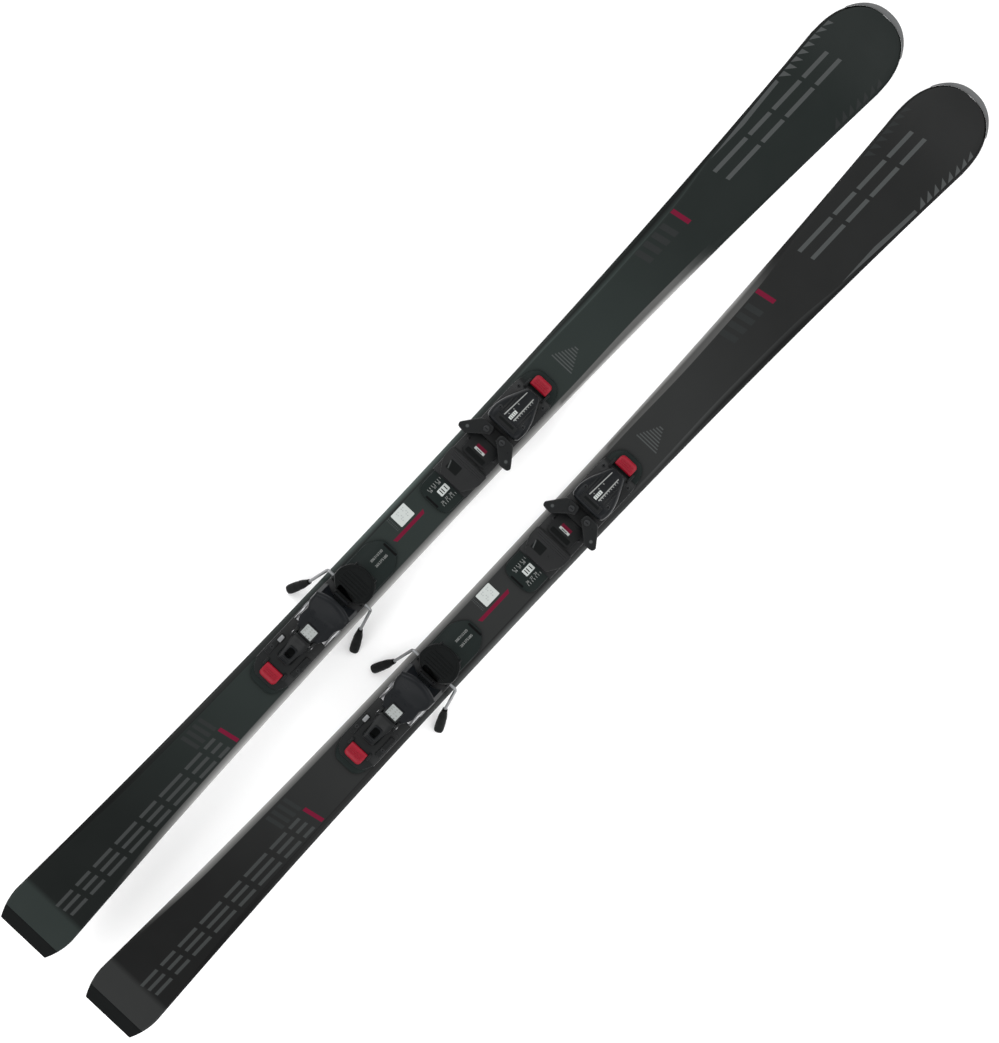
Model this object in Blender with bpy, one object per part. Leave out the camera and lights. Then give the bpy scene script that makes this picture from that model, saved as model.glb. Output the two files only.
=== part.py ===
"""A pair of alpine skis with step-in bindings, standing on a floor with their brakes down.

Lengths are in millimetres. In a ski's own frame X points to its right, Y runs from its tail end towards
its tip and Z is up from the plane that the running base would rest on. The pair stands nose down, because
the brake arms reach below the bases.
"""

import math

import bmesh
import bpy
from mathutils import Vector

MM = 0.001
GAP = 0.3  # air between pieces that touch
SHARP = math.radians(32)

# Ski outline and side profile
LENGTH = 1680.0
SKI_SPACING = 154.5
TAIL_END_HALF = 40.0
TAIL_HALF = 51.0
TAIL_WIDEST_AT = 42.0
WAIST_HALF = 37.0
WAIST_AT = 714.0
SHOVEL_HALF = 60.5
SHOVEL_AT = 1596.0
TAIL_SIDECUT_POWER = 2.15
SHOVEL_SIDECUT_POWER = 2.3
TIP_ROUNDNESS = 2.2
CAMBER = 3.0
TAIL_LIFT = 8.0
TAIL_LIFT_AT = 60.0
TIP_LIFT = 60.0
TIP_LIFT_AT = 1480.0
TIP_LIFT_POWER = 2.2
END_THICKNESS = 7.0
DECK = 18.0  # height of the flat deck that carries the binding
DECK_FROM = 430.0
DECK_TO = 1060.0
FLANK_END = 2.5
FLANK = 8.0

# Laminate
BASE_SHEET = 1.3
EDGE_WIDTH = 2.0
EDGE_HEIGHT = 2.0
SHELL = 1.4
SIDEWALL = 1.2
TAIL_GUARD = 17.0
EDGE_END_AT = 1650.0
CORE_END_AT = 1610.0
GUARD_INNER_HALF = 60.5
GUARD_INNER_LENGTH = 76.6
GUARD_INNER_ROUNDNESS = 2.35

# Tracks and the two carriages that slide on them
TRACK_LOW = DECK + GAP
TRACK_STEM = TRACK_LOW + 2.0
TRACK_TOP = TRACK_LOW + 5.0
TRACK_HALF = 26.5
STEM_INSET = 5.0
CARRIAGE_HALF = 29.5
CARRIAGE_LOW = DECK + 0.8
CARRIAGE_TOP = 28.0
AFD_SEAT = 33.5
BRAKE_FLOOR = 26.4

# Toe piece
TOE_FRONT = 994.0
WING_PIN = (14.0, 913.0)
WING_PIN_RADIUS = 2.8
WING_LOW = 30.0
WING_LIP_LOW = 57.3
WING_TOP = 66.0
AFD_TOP = 37.0
TOE_SCREW_AT = 37.0  # height of the toe spring's axis
TOE_LOCK_PIVOT = (999.0, 29.0)

# Heel piece. The jaw is drawn closed, relative to its axle, and stands opened by JAW_OPEN
AXLE_AT = (580.0, 40.0)
AXLE_RADIUS = 4.0
JAW_OPEN = math.radians(27)
BRACKET_INNER = 25.5
BRACKET_OUTER = 28.0
LEVER_PIN_AT = (-30.0, 24.0)
LEVER_PIN_RADIUS = 2.5
HEEL_SPRING_AT = 17.0
CUP_AT = 70.0
CUP_RADIUS = 36.0
TREAD_HALF = 11.0
TREAD_TIP = 42.0
HEEL_LOCK_PIVOT = (488.0, 29.0)
LOCK_HALF = 14.0

# Brake. The pedal is drawn pressed flat, and stands raised by PEDAL_RAISED
WIRE_RADIUS = 2.2
BRAKE_PIVOT = (633.0, 29.0)
CRANK = 8.0
CRANK_ANGLE = math.radians(60.8)
CRANK_HALF = 18.0
ARM_HALF = 39.0
ARM_BEND = (46.5, 604.0, -14.0)
ARM_END = (57.5, 581.0, -48.0)
PEDAL_PIVOT = (662.0, 30.5)
PEDAL_LOW = 33.0
PEDAL_TOP = 40.0
PEDAL_CENTRE = 637.0
PEDAL_RADIUS = 29.0
PEDAL_NOTCH = (12.6, 624.0)  # leaves room for the jaw's tread
PEDAL_CUP_GAP = 2.0
PEDAL_RAISED = math.radians(18)


# ---------------------------------------------------------------- helpers


def clear_scene():
    for obj in list(bpy.data.objects):
        bpy.data.objects.remove(obj)


def finish(name, colour, roughness, metallic=0.0):
    made = bpy.data.materials.new(name)
    made.use_nodes = True
    shader = made.node_tree.nodes["Principled BSDF"]
    shader.inputs["Base Color"].default_value = (*colour, 1.0)
    shader.inputs["Roughness"].default_value = roughness
    shader.inputs["Metallic"].default_value = metallic
    return made


def empty(name, parent=None, at=(0, 0, 0), tilt=0.0):
    made = bpy.data.objects.new(name, None)
    made.location = Vector(at) * MM
    made.rotation_euler.x = tilt
    made.parent = parent
    bpy.context.collection.objects.link(made)
    return made


def make(name, solid, material, parent, at=(0, 0, 0)):
    """An object from (points, faces) in the parent's frame, with its origin at `at`."""
    points, faces = solid
    mesh = bpy.data.meshes.new(name)
    mesh.from_pydata([(Vector(p) - Vector(at)) * MM for p in points], [], faces)
    form = bmesh.new()
    form.from_mesh(mesh)
    bmesh.ops.recalc_face_normals(form, faces=form.faces)
    form.to_mesh(mesh)
    form.free()
    mesh.shade_smooth()
    mesh.set_sharp_from_angle(angle=SHARP)
    mesh.materials.append(material)
    obj = bpy.data.objects.new(name, mesh)
    obj.location = Vector(at) * MM
    obj.parent = parent
    bpy.context.collection.objects.link(obj)
    return obj


def combine(obj, operation, *solids):
    """Joins, cuts or intersects the object with each solid, given in the same frame as the object's own."""
    for solid in solids:
        tool = make(obj.name + "_tool", solid, obj.data.materials[0], obj.parent)
        tool.hide_render = True
        tool.display_type = "WIRE"
        step = obj.modifiers.new(operation.lower(), "BOOLEAN")
        step.operation = operation
        step.object = tool


def bevel(obj, width, segments=1):
    step = obj.modifiers.new("bevel", "BEVEL")
    step.width = width * MM
    step.segments = segments
    step.limit_method = "ANGLE"
    step.angle_limit = math.radians(40)


def loft(rings):
    """A solid through rings of the same number of points, with flat ends."""
    count = len(rings[0])
    points = [p for ring in rings for p in ring]
    faces = [tuple(range(count)), tuple(range(len(points) - count, len(points)))]
    for row in range(len(rings) - 1):
        for i in range(count):
            a = row * count + i
            b = row * count + (i + 1) % count
            faces.append((a, b, b + count, a + count))
    return points, faces


def upright(outline, low, high):
    """A prism along Z over an outline of (x, y)."""
    return loft([[(x, y, z) for x, y in outline] for z in (low, high)])


def crosswise(outline, low, high):
    """A prism along X over an outline of (y, z)."""
    return loft([[(x, y, z) for y, z in outline] for x in (low, high)])


def block(x, y, z):
    return upright([(x[0], y[0]), (x[1], y[0]), (x[1], y[1]), (x[0], y[1])], z[0], z[1])


def rod(start, end, radius, sides=16):
    start, end = Vector(start), Vector(end)
    along = (end - start).normalized()
    across = along.orthogonal().normalized()
    other = along.cross(across)
    turn = [2 * math.pi * i / sides for i in range(sides)]
    return loft(
        [
            [tuple(c + radius * (across * math.cos(a) + other * math.sin(a))) for a in turn]
            for c in (start, end)
        ]
    )


def both_sides(right):
    """The outline of (x, y) points on the right, closed by their mirror images."""
    return right + [(-x, y) for x, y in reversed(right)]


def both_rings(right):
    return right + [(-x, y, z) for x, y, z in reversed(right)]


def arc(centre, radius, start, end, steps):
    angles = [math.radians(start + (end - start) * i / steps) for i in range(steps + 1)]
    return [(centre[0] + radius * math.cos(a), centre[1] + radius * math.sin(a)) for a in angles]


def rounded(path, radius, steps=4):
    """The path with each corner replaced by a smooth bend."""
    path = [Vector(p) for p in path]
    smooth = [path[0]]
    for before, corner, after in zip(path, path[1:], path[2:]):
        start = corner + (before - corner).normalized() * radius
        end = corner + (after - corner).normalized() * radius
        for i in range(steps + 1):
            t = i / steps
            smooth.append(start * (1 - t) ** 2 + corner * 2 * t * (1 - t) + end * t**2)
    return [tuple(p) for p in smooth + [path[-1]]]


def wire(name, path, radius, material, parent, resolution):
    curve = bpy.data.curves.new(name, "CURVE")
    curve.dimensions = "3D"
    curve.bevel_depth = radius * MM
    curve.bevel_resolution = resolution
    curve.use_fill_caps = True
    spline = curve.splines.new("POLY")
    spline.points.add(len(path) - 1)
    for point, place in zip(spline.points, path):
        point.co = (*(Vector(place) * MM), 1.0)
    curve.materials.append(material)
    obj = bpy.data.objects.new(name, curve)
    obj.parent = parent
    bpy.context.collection.objects.link(obj)
    return obj


def coil(start, end, height, radius, turns, per_turn=9):
    """Points of a spring that lies along Y."""
    count = turns * per_turn
    path = []
    for i in range(count + 1):
        angle = 2 * math.pi * i / per_turn
        along = start + (end - start) * i / count
        path.append((radius * math.cos(angle), along, height + radius * math.sin(angle)))
    return path


def smoothstep(t):
    t = min(max(t, 0.0), 1.0)
    return t * t * (3 - 2 * t)


# ---------------------------------------------------------------- ski body


def half_width(y):
    if y < TAIL_WIDEST_AT:
        t = (TAIL_WIDEST_AT - y) / TAIL_WIDEST_AT
        return TAIL_HALF - (TAIL_HALF - TAIL_END_HALF) * t**2
    if y < WAIST_AT:
        t = (WAIST_AT - y) / (WAIST_AT - TAIL_WIDEST_AT)
        return WAIST_HALF + (TAIL_HALF - WAIST_HALF) * t**TAIL_SIDECUT_POWER
    if y < SHOVEL_AT:
        t = (y - WAIST_AT) / (SHOVEL_AT - WAIST_AT)
        return WAIST_HALF + (SHOVEL_HALF - WAIST_HALF) * t**SHOVEL_SIDECUT_POWER
    t = min((y - SHOVEL_AT) / (LENGTH - SHOVEL_AT), 1.0)
    return SHOVEL_HALF * (1 - t**TIP_ROUNDNESS) ** (1 / TIP_ROUNDNESS)


def laminate_half(y):
    """The laminate stops inside the tip guard."""
    if y < SHOVEL_AT:
        return half_width(y)
    t = (y - SHOVEL_AT) / (GUARD_INNER_LENGTH - 0.5)
    inner = (GUARD_INNER_HALF - 0.4) * (1 - t**GUARD_INNER_ROUNDNESS) ** (1 / GUARD_INNER_ROUNDNESS)
    return min(half_width(y), inner)


def base_height(y):
    if y < TAIL_LIFT_AT:
        return TAIL_LIFT * (1 - y / TAIL_LIFT_AT) ** 2
    if y > TIP_LIFT_AT:
        return TIP_LIFT * ((y - TIP_LIFT_AT) / (LENGTH - TIP_LIFT_AT)) ** TIP_LIFT_POWER
    t = (y - TAIL_LIFT_AT) / (TIP_LIFT_AT - TAIL_LIFT_AT)
    return CAMBER * (1 - math.cos(2 * math.pi * t)) / 2


def top_height(y):
    rise = smoothstep((y - TAIL_LIFT_AT) / (DECK_FROM - TAIL_LIFT_AT))
    fall = smoothstep((1500 - y) / (1500 - DECK_TO))
    deck = rise * fall
    return (base_height(y) + END_THICKNESS) * (1 - deck) + DECK * deck


def flank(y):
    """Width of the sloping flank between the flat top and the side edge."""
    full = smoothstep((y - 70) / 170) * smoothstep((1500 - y) / 250)
    return FLANK_END + (FLANK - FLANK_END) * full


def stations(end):
    """Places along the ski where its section is drawn, closer together at the round tip."""
    start = TAIL_GUARD + GAP
    run = [start, 30.0, TAIL_WIDEST_AT]
    steps = 25
    run += [TAIL_LIFT_AT + (SHOVEL_AT - TAIL_LIFT_AT) * i / steps for i in range(steps + 1)]
    reach = GUARD_INNER_LENGTH - 0.5
    run += [SHOVEL_AT + reach * math.sin(math.radians(a)) for a in (12, 24, 35, 45, 54, 62, 69, 75, 80, 84)]
    return [y for y in run if y < end] + ([end] if end < run[-1] else [])


def shell_ring(y):
    half, low, top, slope = laminate_half(y), base_height(y) + EDGE_HEIGHT + GAP, top_height(y), flank(y)
    right = [
        (half - SHELL - 0.2, y, low),
        (half, y, low),
        (half, y, low + SIDEWALL),
        (half - slope, y, top),
    ]
    inner = [(-(half - slope - 0.8), y, top - SHELL), (-(half - SHELL - 0.2), y, low + SIDEWALL - 0.3)]
    ring = right + [(-x, y, z) for x, y, z in reversed(right)]
    return ring + list(reversed(inner)) + [(-x, y, z) for x, y, z in inner]


def core_ring(y):
    half, low, top, slope = laminate_half(y), base_height(y), top_height(y), flank(y)
    return both_rings(
        [
            (half - EDGE_WIDTH - 0.7, y, low + BASE_SHEET + GAP),
            (half - EDGE_WIDTH - 0.7, y, low + EDGE_HEIGHT + SIDEWALL),
            (half - slope - 1.7, y, top - SHELL - GAP),
        ]
    )


def base_ring(y):
    half, low = laminate_half(y) - EDGE_WIDTH - 0.4, base_height(y)
    return both_rings([(half, y, low), (half, y, low + BASE_SHEET)])


def edge_ring(y, side):
    outer, low = laminate_half(y), base_height(y)
    inner, high = outer - EDGE_WIDTH, low + EDGE_HEIGHT
    return [(side * x, y, z) for x, z in ((inner, low), (outer, low), (outer, high), (inner, high))]


def tail_guard_ring(y):
    half, low, top = half_width(y), base_height(y), top_height(y)
    return both_rings([(half, y, low), (half, y, low + 4.5), (half - FLANK_END, y, top)])


def tip_guard_ring(angle):
    """The guard's section where the tip's outline has turned by the given angle."""

    def outline(half, length, roundness):
        power = 2 / roundness
        side = math.copysign(abs(math.cos(angle)) ** power, math.cos(angle))
        return half * side, SHOVEL_AT + length * math.sin(angle) ** power

    outer = outline(SHOVEL_HALF, LENGTH - SHOVEL_AT, TIP_ROUNDNESS)
    inner = outline(GUARD_INNER_HALF, GUARD_INNER_LENGTH, GUARD_INNER_ROUNDNESS)
    ring = [(*place, base_height(place[1])) for place in (outer, inner)]
    return ring + [(x, y, z + END_THICKNESS) for x, y, z in reversed(ring)]


def build_ski_body(prefix, looks, frame):
    run = stations(LENGTH)
    edge_run = stations(EDGE_END_AT)
    make(prefix + "top_shell", loft([shell_ring(y) for y in run]), looks["topsheet"], frame)
    make(prefix + "wood_core", loft([core_ring(y) for y in stations(CORE_END_AT)]), looks["wood"], frame)
    make(prefix + "base_sheet", loft([base_ring(y) for y in run]), looks["base"], frame)
    for name, side in (("edge_left", -1), ("edge_right", 1)):
        make(prefix + name, loft([edge_ring(y, side) for y in edge_run]), looks["edge_steel"], frame)
    tail = [tail_guard_ring(y) for y in (0.0, 5.0, 11.0, TAIL_GUARD)]
    make(prefix + "tail_guard", loft(tail), looks["black_plastic"], frame)
    turns = [math.radians(38 + (142 - 38) * i / 16) for i in range(17)]
    make(prefix + "tip_guard", loft([tip_guard_ring(a) for a in turns]), looks["grey_plastic"], frame)


# ---------------------------------------------------------------- tracks


def track(plan):
    """A rail with a T-shaped section, through (y, half width) places."""
    rings = []
    for y, half in plan:
        stem = half - STEM_INSET
        right = [(stem, y, TRACK_LOW), (stem, y, TRACK_STEM), (half, y, TRACK_STEM), (half, y, TRACK_TOP)]
        rings.append(both_rings(right))
    return loft(rings)


def carriage(plan):
    """A slider that grips the T-shaped rail from above, through (y, top height) places."""
    lip, flange = TRACK_HALF - STEM_INSET + 0.5, TRACK_HALF + GAP
    rings = []
    for y, top in plan:
        right = [
            (flange, y, TRACK_TOP + GAP),
            (flange, y, TRACK_STEM - GAP),
            (lip, y, TRACK_STEM - GAP),
            (lip, y, CARRIAGE_LOW),
            (CARRIAGE_HALF, y, CARRIAGE_LOW),
            (CARRIAGE_HALF, y, top),
        ]
        rings.append(both_rings(right))
    return loft(rings)


def build_tracks(prefix, looks, frame):
    toe = [(790, 12), (800, TRACK_HALF), (1000, TRACK_HALF), (1010, 23), (1017, 17), (1020, 12)]
    heel = [(458, 16), (464, 21), (474, 25), (485, TRACK_HALF), (692, TRACK_HALF), (703, 20), (713, 12)]
    make(prefix + "toe_track", track(toe), looks["grey_black"], frame)
    make(prefix + "heel_track", track(heel), looks["grey_black"], frame)


# ---------------------------------------------------------------- toe piece


def housing_loft(plan, low):
    """A hood with rounded shoulders, through (y, half width, top height) places."""
    rings = []
    for y, half, top in plan:
        right = [(half, y, low), (half, y, top - 7), (half - 2.2, y, top - 2.2), (half - 7, y, top)]
        rings.append(both_rings(right))
    return loft(rings)


def build_toe_piece(prefix, looks, frame):
    body = make(
        prefix + "toe_carriage",
        carriage([(826, AFD_SEAT), (868, AFD_SEAT), (868.6, CARRIAGE_TOP), (TOE_FRONT, CARRIAGE_TOP)]),
        looks["black_plastic"],
        frame,
    )
    for side in (-1, 1):
        x, y = side * WING_PIN[0], WING_PIN[1]
        post = rod((x, y, CARRIAGE_TOP - 2), (x, y, WING_TOP + 1), WING_PIN_RADIUS, 12)
        head = rod((x, y, WING_TOP + 0.5), (x, y, WING_TOP + 2), 4.2, 12)
        lug = block(sorted((side * (LOCK_HALF + 0.4), side * 18)), (990, 1002), (TRACK_TOP + 0.6, 32))
        combine(body, "UNION", post, head, lug)

    hood = make(
        prefix + "toe_housing",
        housing_loft(
            [
                (926.3, 21, 66),
                (930, 27, 69),
                (945, 28, 68),
                (960, 24.5, 62),
                (975, 18, 54),
                (986, 13, 49),
                (990, 11, 47),
            ],
            CARRIAGE_TOP + GAP,
        ),
        looks["black_plastic"],
        frame,
    )
    hollow = housing_loft([(929.5, 21, 64), (945, 25, 64.5), (960, 21, 58), (975, 14.5, 50), (982, 11, 45)], 20)
    screw_hole = rod((0, 975, TOE_SCREW_AT), (0, 995, TOE_SCREW_AT), 4.9)
    combine(hood, "DIFFERENCE", hollow, screw_hole)

    screw = make(
        prefix + "toe_setting_screw",
        rod((0, 983, TOE_SCREW_AT), (0, 990.5, TOE_SCREW_AT), 4.5),
        looks["bright_steel"],
        frame,
        (0, 983, TOE_SCREW_AT),
    )
    combine(screw, "UNION", rod((0, 962, TOE_SCREW_AT), (0, 984, TOE_SCREW_AT), 2.5, 12))
    combine(screw, "DIFFERENCE", block((-5, 5), (988.8, 992), (TOE_SCREW_AT - 0.7, TOE_SCREW_AT + 0.7)))
    wire(
        prefix + "toe_spring",
        coil(933, 958, TOE_SCREW_AT, 6.2, 5),
        1.2,
        looks["bright_steel"],
        frame,
        1,
    )

    pad = both_sides([(20, 828), (30, 845), (31, 852), (31, 866)])
    afd = make(prefix + "afd_plate", upright(pad, AFD_SEAT + GAP, AFD_TOP), looks["grey_plastic"], frame)
    bevel(afd, 0.6)

    wall = [(41, 890.5), (45, 891.5), (46, 895), (28, 920), (22, 922), (8, 922), (5, 916), (5, 911)]
    wall += [(12, 911), (22, 908.5), (31, 902.5), (38, 894)]
    lip = [(31, 889), (45, 891), (46.3, 895), (28, 920), (22, 922), (8, 922), (5, 916), (5, 909), (10, 907)]
    for name, side in (("wing_left", -1), ("wing_right", 1)):
        pin = (side * WING_PIN[0], WING_PIN[1])
        wing = make(
            prefix + name,
            upright([(side * x, y) for x, y in wall], WING_LOW, WING_TOP - 1),
            looks["black_plastic"],
            frame,
            (*pin, WING_LOW),
        )
        combine(wing, "UNION", upright([(side * x, y) for x, y in lip], WING_LIP_LOW, WING_TOP))
        combine(wing, "DIFFERENCE", rod((*pin, 20), (*pin, 80), WING_PIN_RADIUS + GAP, 12))

    y, z = TOE_LOCK_PIVOT
    profile = arc((y, z), 3, 90, 270, 6) + [(1010, 25), (1013, 25.4), (1014, 28), (1011, 30.5), (1004, 32)]
    lock = crosswise(profile, -LOCK_HALF, LOCK_HALF)
    bevel(make(prefix + "toe_lock", lock, looks["red_plastic"], frame, (0, y, z)), 0.8)


# ---------------------------------------------------------------- heel piece


def build_heel_base(prefix, looks, frame):
    body = make(
        prefix + "heel_carriage",
        carriage([(466, 25.8), (494, 25.8), (502, CARRIAGE_TOP), (612, CARRIAGE_TOP), (612.6, BRAKE_FLOOR), (668, BRAKE_FLOOR)]),
        looks["black_plastic"],
        frame,
    )
    brake_y, brake_z = BRAKE_PIVOT
    pedal_y, pedal_z = PEDAL_PIVOT
    for side in (-1, 1):
        lug = block(sorted((side * (LOCK_HALF + 0.4), side * 18)), (484, 494), (TRACK_TOP + 1.2, 32))
        bearing = block(sorted((side * 23.5, side * 28.5)), (628, 638), (BRAKE_FLOOR - 1, PEDAL_LOW - 0.6))
        cheek = block(sorted((side * 15.2, side * 18.2)), (658, 666), (BRAKE_FLOOR - 1, PEDAL_LOW - 0.6))
        combine(body, "UNION", lug, bearing, cheek)
    combine(body, "UNION", rod((-17, pedal_y, pedal_z), (17, pedal_y, pedal_z), 1.5, 10))
    combine(body, "DIFFERENCE", rod((-40, brake_y, brake_z), (40, brake_y, brake_z), WIRE_RADIUS + GAP, 12))

    rings = []
    for y, top in ((556, 34), (564, 46), (572, 53), (580, 55), (588, 53), (594, 47)):
        low, floor = CARRIAGE_TOP + GAP, CARRIAGE_TOP + GAP + 2
        right = [(BRACKET_INNER, y, floor), (BRACKET_INNER, y, top), (BRACKET_OUTER, y, top), (BRACKET_OUTER, y, low)]
        rings.append(right + [(-x, y, z) for x, y, z in reversed(right)])
    bracket = make(prefix + "heel_bracket", loft(rings), looks["bright_steel"], frame)
    y, z = AXLE_AT
    combine(bracket, "DIFFERENCE", rod((-40, y, z), (40, y, z), AXLE_RADIUS + GAP))
    axle = rod((-29.2, y, z), (29.2, y, z), AXLE_RADIUS)
    make(prefix + "heel_axle", axle, looks["bright_steel"], frame, (0, y, z))

    y, z = HEEL_LOCK_PIVOT
    profile = [(484, 32), (475, 31.5), (470, 30), (468, 28.2), (469, 26.6), (480, 26.4)] + arc((y, z), 2.6, -90, 90, 6)
    lock = crosswise(profile, -LOCK_HALF, LOCK_HALF)
    bevel(make(prefix + "heel_lock", lock, looks["red_plastic"], frame, (0, y, z)), 0.8)


def cup_wall(x, radius):
    """How far ahead of the axle a circle about the cup's centre lies, to one side of the middle."""
    return CUP_AT - math.sqrt(radius**2 - x**2)


def build_heel_jaw(prefix, looks, frame):
    """Everything that turns with the jaw, relative to the axle."""
    rocker = empty(prefix + "heel_axis", frame, (0, *AXLE_AT), JAW_OPEN)
    side_view = [
        (0, -9.3),
        (-6.6, -6.6),
        (-9.3, 0),
        (-14, 8),
        (-20, 9),
        (-21, 24),
        (-17, 29.5),
        (0, 34.5),
        (16, 38),
        (36, 38.5),
        (47, 37),
        (50.5, 33.5),
        (50.5, 30),
        (40, 29.5),
        (40, -1),
        (TREAD_TIP, -1),
        (TREAD_TIP, -4),
        (30, -6.5),
        (6.6, -6.6),
    ]
    plan = both_sides([(17, -45), (17, -18), (25, -2), (25, 19), (30, 24), (30, 42), (20, 52)])
    jaw = make(prefix + "heel_jaw", crosswise(side_view, -32, 32), looks["black_plastic"], rocker)
    combine(jaw, "INTERSECT", upright(plan, -20, 50))
    pin_y, pin_z = LEVER_PIN_AT
    for side in (-1, 1):
        lug = [(-18, 17), (-18, 28.5), (-32, 30), (-36, 27), (-36, 20), (-32, 18)]
        combine(jaw, "UNION", crosswise(lug, *sorted((side * 13.6, side * 16.8))))
    cup = rod((0, CUP_AT, -0.9), (0, CUP_AT, 29.4), CUP_RADIUS, 40)
    bore = rod((0, -30, HEEL_SPRING_AT), (0, 26, HEEL_SPRING_AT), 8.2)
    axle_hole = rod((-40, 0, 0), (40, 0, 0), AXLE_RADIUS + GAP)
    pin_hole = rod((-40, pin_y, pin_z), (40, pin_y, pin_z), LEVER_PIN_RADIUS + GAP, 12)
    combine(jaw, "DIFFERENCE", cup, bore, axle_hole, pin_hole)
    for side in (-1, 1):
        edge = [(side * x, cup_wall(x, CUP_RADIUS - 0.4)) for x in (TREAD_HALF, 15, 20, 25, 30, 33)]
        combine(jaw, "DIFFERENCE", upright(edge + [(side * 33, CUP_AT - 8), (side * TREAD_HALF, CUP_AT - 8)], -12, -0.6))

    wire(prefix + "heel_spring", coil(-3, 24, HEEL_SPRING_AT, 6.4, 5), 1.3, looks["bright_steel"], rocker, 1)
    plug = rod((0, -16, HEEL_SPRING_AT), (0, -8, HEEL_SPRING_AT), 7.8)
    screw = make(prefix + "heel_setting_screw", plug, looks["bright_steel"], rocker, (0, -16, HEEL_SPRING_AT))
    slot = block((-9, 9), (-18, -13.5), (HEEL_SPRING_AT - 1, HEEL_SPRING_AT + 1))
    combine(screw, "DIFFERENCE", slot)

    pin = rod((-16.8, pin_y, pin_z), (16.8, pin_y, pin_z), LEVER_PIN_RADIUS, 12)
    make(prefix + "lever_pin", pin, looks["bright_steel"], rocker, (0, pin_y, pin_z))

    handle = arc((pin_y, pin_z), 6, -80, 90, 8) + [(-50, 31.5), (-67, 32.5), (-71.5, 30.5), (-70.5, 27.5), (-50, 24), (-38, 20)]
    handle_plan = both_sides([(8.5, -74), (9.5, -66), (13.2, -42), (13.2, -20)])
    lever = make(
        prefix + "heel_lever", crosswise(handle, -15, 15), looks["black_plastic"], rocker, (0, pin_y, pin_z)
    )
    combine(lever, "INTERSECT", upright(handle_plan, 0, 60))
    combine(lever, "DIFFERENCE", block((-5.5, 5.5), (-62, -44), (0, 60)), rod((-40, pin_y, pin_z), (40, pin_y, pin_z), LEVER_PIN_RADIUS + GAP, 12))


# ---------------------------------------------------------------- brake


def foot_rings(side):
    """Oval sections of a brake foot, along the last stretch of its arm."""
    start, end = Vector(ARM_BEND), Vector(ARM_END)
    along = (end - start).normalized()
    across = along.cross(Vector((0, 0, 1))).normalized()
    depth = along.cross(across)
    rings = []
    for reach, wide, deep in ((-1, 3.4, 3.6), (4, 4.4, 4.4), (14, 5.8, 5.0), (30, 6.6, 5.4), (46, 6.6, 5.2), (51, 5.2, 4.0)):
        centre = start + along * reach
        turn = [2 * math.pi * (i + 0.5) / 10 for i in range(10)]
        ring = [centre + across * (wide * math.cos(a)) + depth * (deep * math.sin(a)) for a in turn]
        rings.append([(side * p.x, p.y, p.z) for p in ring])
    return rings


def build_brake(prefix, looks, frame):
    y, z = BRAKE_PIVOT
    crank = (y + CRANK * math.cos(CRANK_ANGLE), z + CRANK * math.sin(CRANK_ANGLE))
    right = [(CRANK_HALF, *crank), (CRANK_HALF, y, z), (ARM_HALF, y, z), ARM_BEND, ARM_END]
    left = [(-x, y, z) for x, y, z in reversed(right)]
    wire(prefix + "brake_wire", rounded(left + right, 4), WIRE_RADIUS, looks["wire_steel"], frame, 2)
    for name, side in (("brake_foot_left", -1), ("brake_foot_right", 1)):
        foot = make(prefix + name, loft(foot_rings(side)), looks["black_plastic"], frame)
        start, end = Vector(ARM_BEND), Vector(ARM_END)
        along = (end - start).normalized()
        hole = [start - along * 6, end + along * GAP]
        combine(foot, "DIFFERENCE", rod(*[(side * p.x, p.y, p.z) for p in hole], WIRE_RADIUS + GAP, 12))

    pivot_y, pivot_z = PEDAL_PIVOT
    hinge = empty(prefix + "pedal_axis", frame, (0, *PEDAL_PIVOT), -PEDAL_RAISED)
    notch_half, notch_end = PEDAL_NOTCH
    right = [(notch_half, notch_end - pivot_y)]
    right += [(x, AXLE_AT[0] + cup_wall(x, CUP_RADIUS - PEDAL_CUP_GAP) - pivot_y) for x in (notch_half, 16, 20, 24, 27, 28.4)]
    right += arc((0, PEDAL_CENTRE - pivot_y), PEDAL_RADIUS, -8, 82, 12)
    outline = both_sides(right)
    pedal = make(
        prefix + "brake_pedal", upright(outline, PEDAL_LOW - pivot_z, PEDAL_TOP - pivot_z), looks["black_plastic"], hinge
    )
    bevel(pedal, 1.2, 2)
    combine(pedal, "UNION", rod((-14.6, 0, 0), (14.6, 0, 0), 3.2, 12))
    combine(pedal, "DIFFERENCE", rod((-20, 0, 0), (20, 0, 0), 1.8, 12))


# ---------------------------------------------------------------- the pair


def standing_slope():
    """Slope of the line that touches the brake feet and the shovel from below: the pair stands on it."""
    feet = [p for ring in foot_rings(1) for p in ring]
    base = [(y, base_height(y)) for y in stations(LENGTH) if y > WAIST_AT]
    return max(min((z - foot[2]) / (y - foot[1]) for y, z in base) for foot in feet)


def stand_on_floor(pair):
    """Moves the pair so that its box stands centred on the origin."""
    bpy.context.view_layer.update()
    graph = bpy.context.evaluated_depsgraph_get()
    corners = []
    for obj in bpy.data.objects:
        if obj.type != "EMPTY" and not obj.hide_render:
            mesh = obj.evaluated_get(graph).to_mesh()
            corners += [obj.matrix_world @ vertex.co for vertex in mesh.vertices]
    low = [min(c[i] for c in corners) for i in range(3)]
    high = [max(c[i] for c in corners) for i in range(3)]
    pair.location = (-(low[0] + high[0]) / 2, -(low[1] + high[1]) / 2, -low[2])


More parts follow.
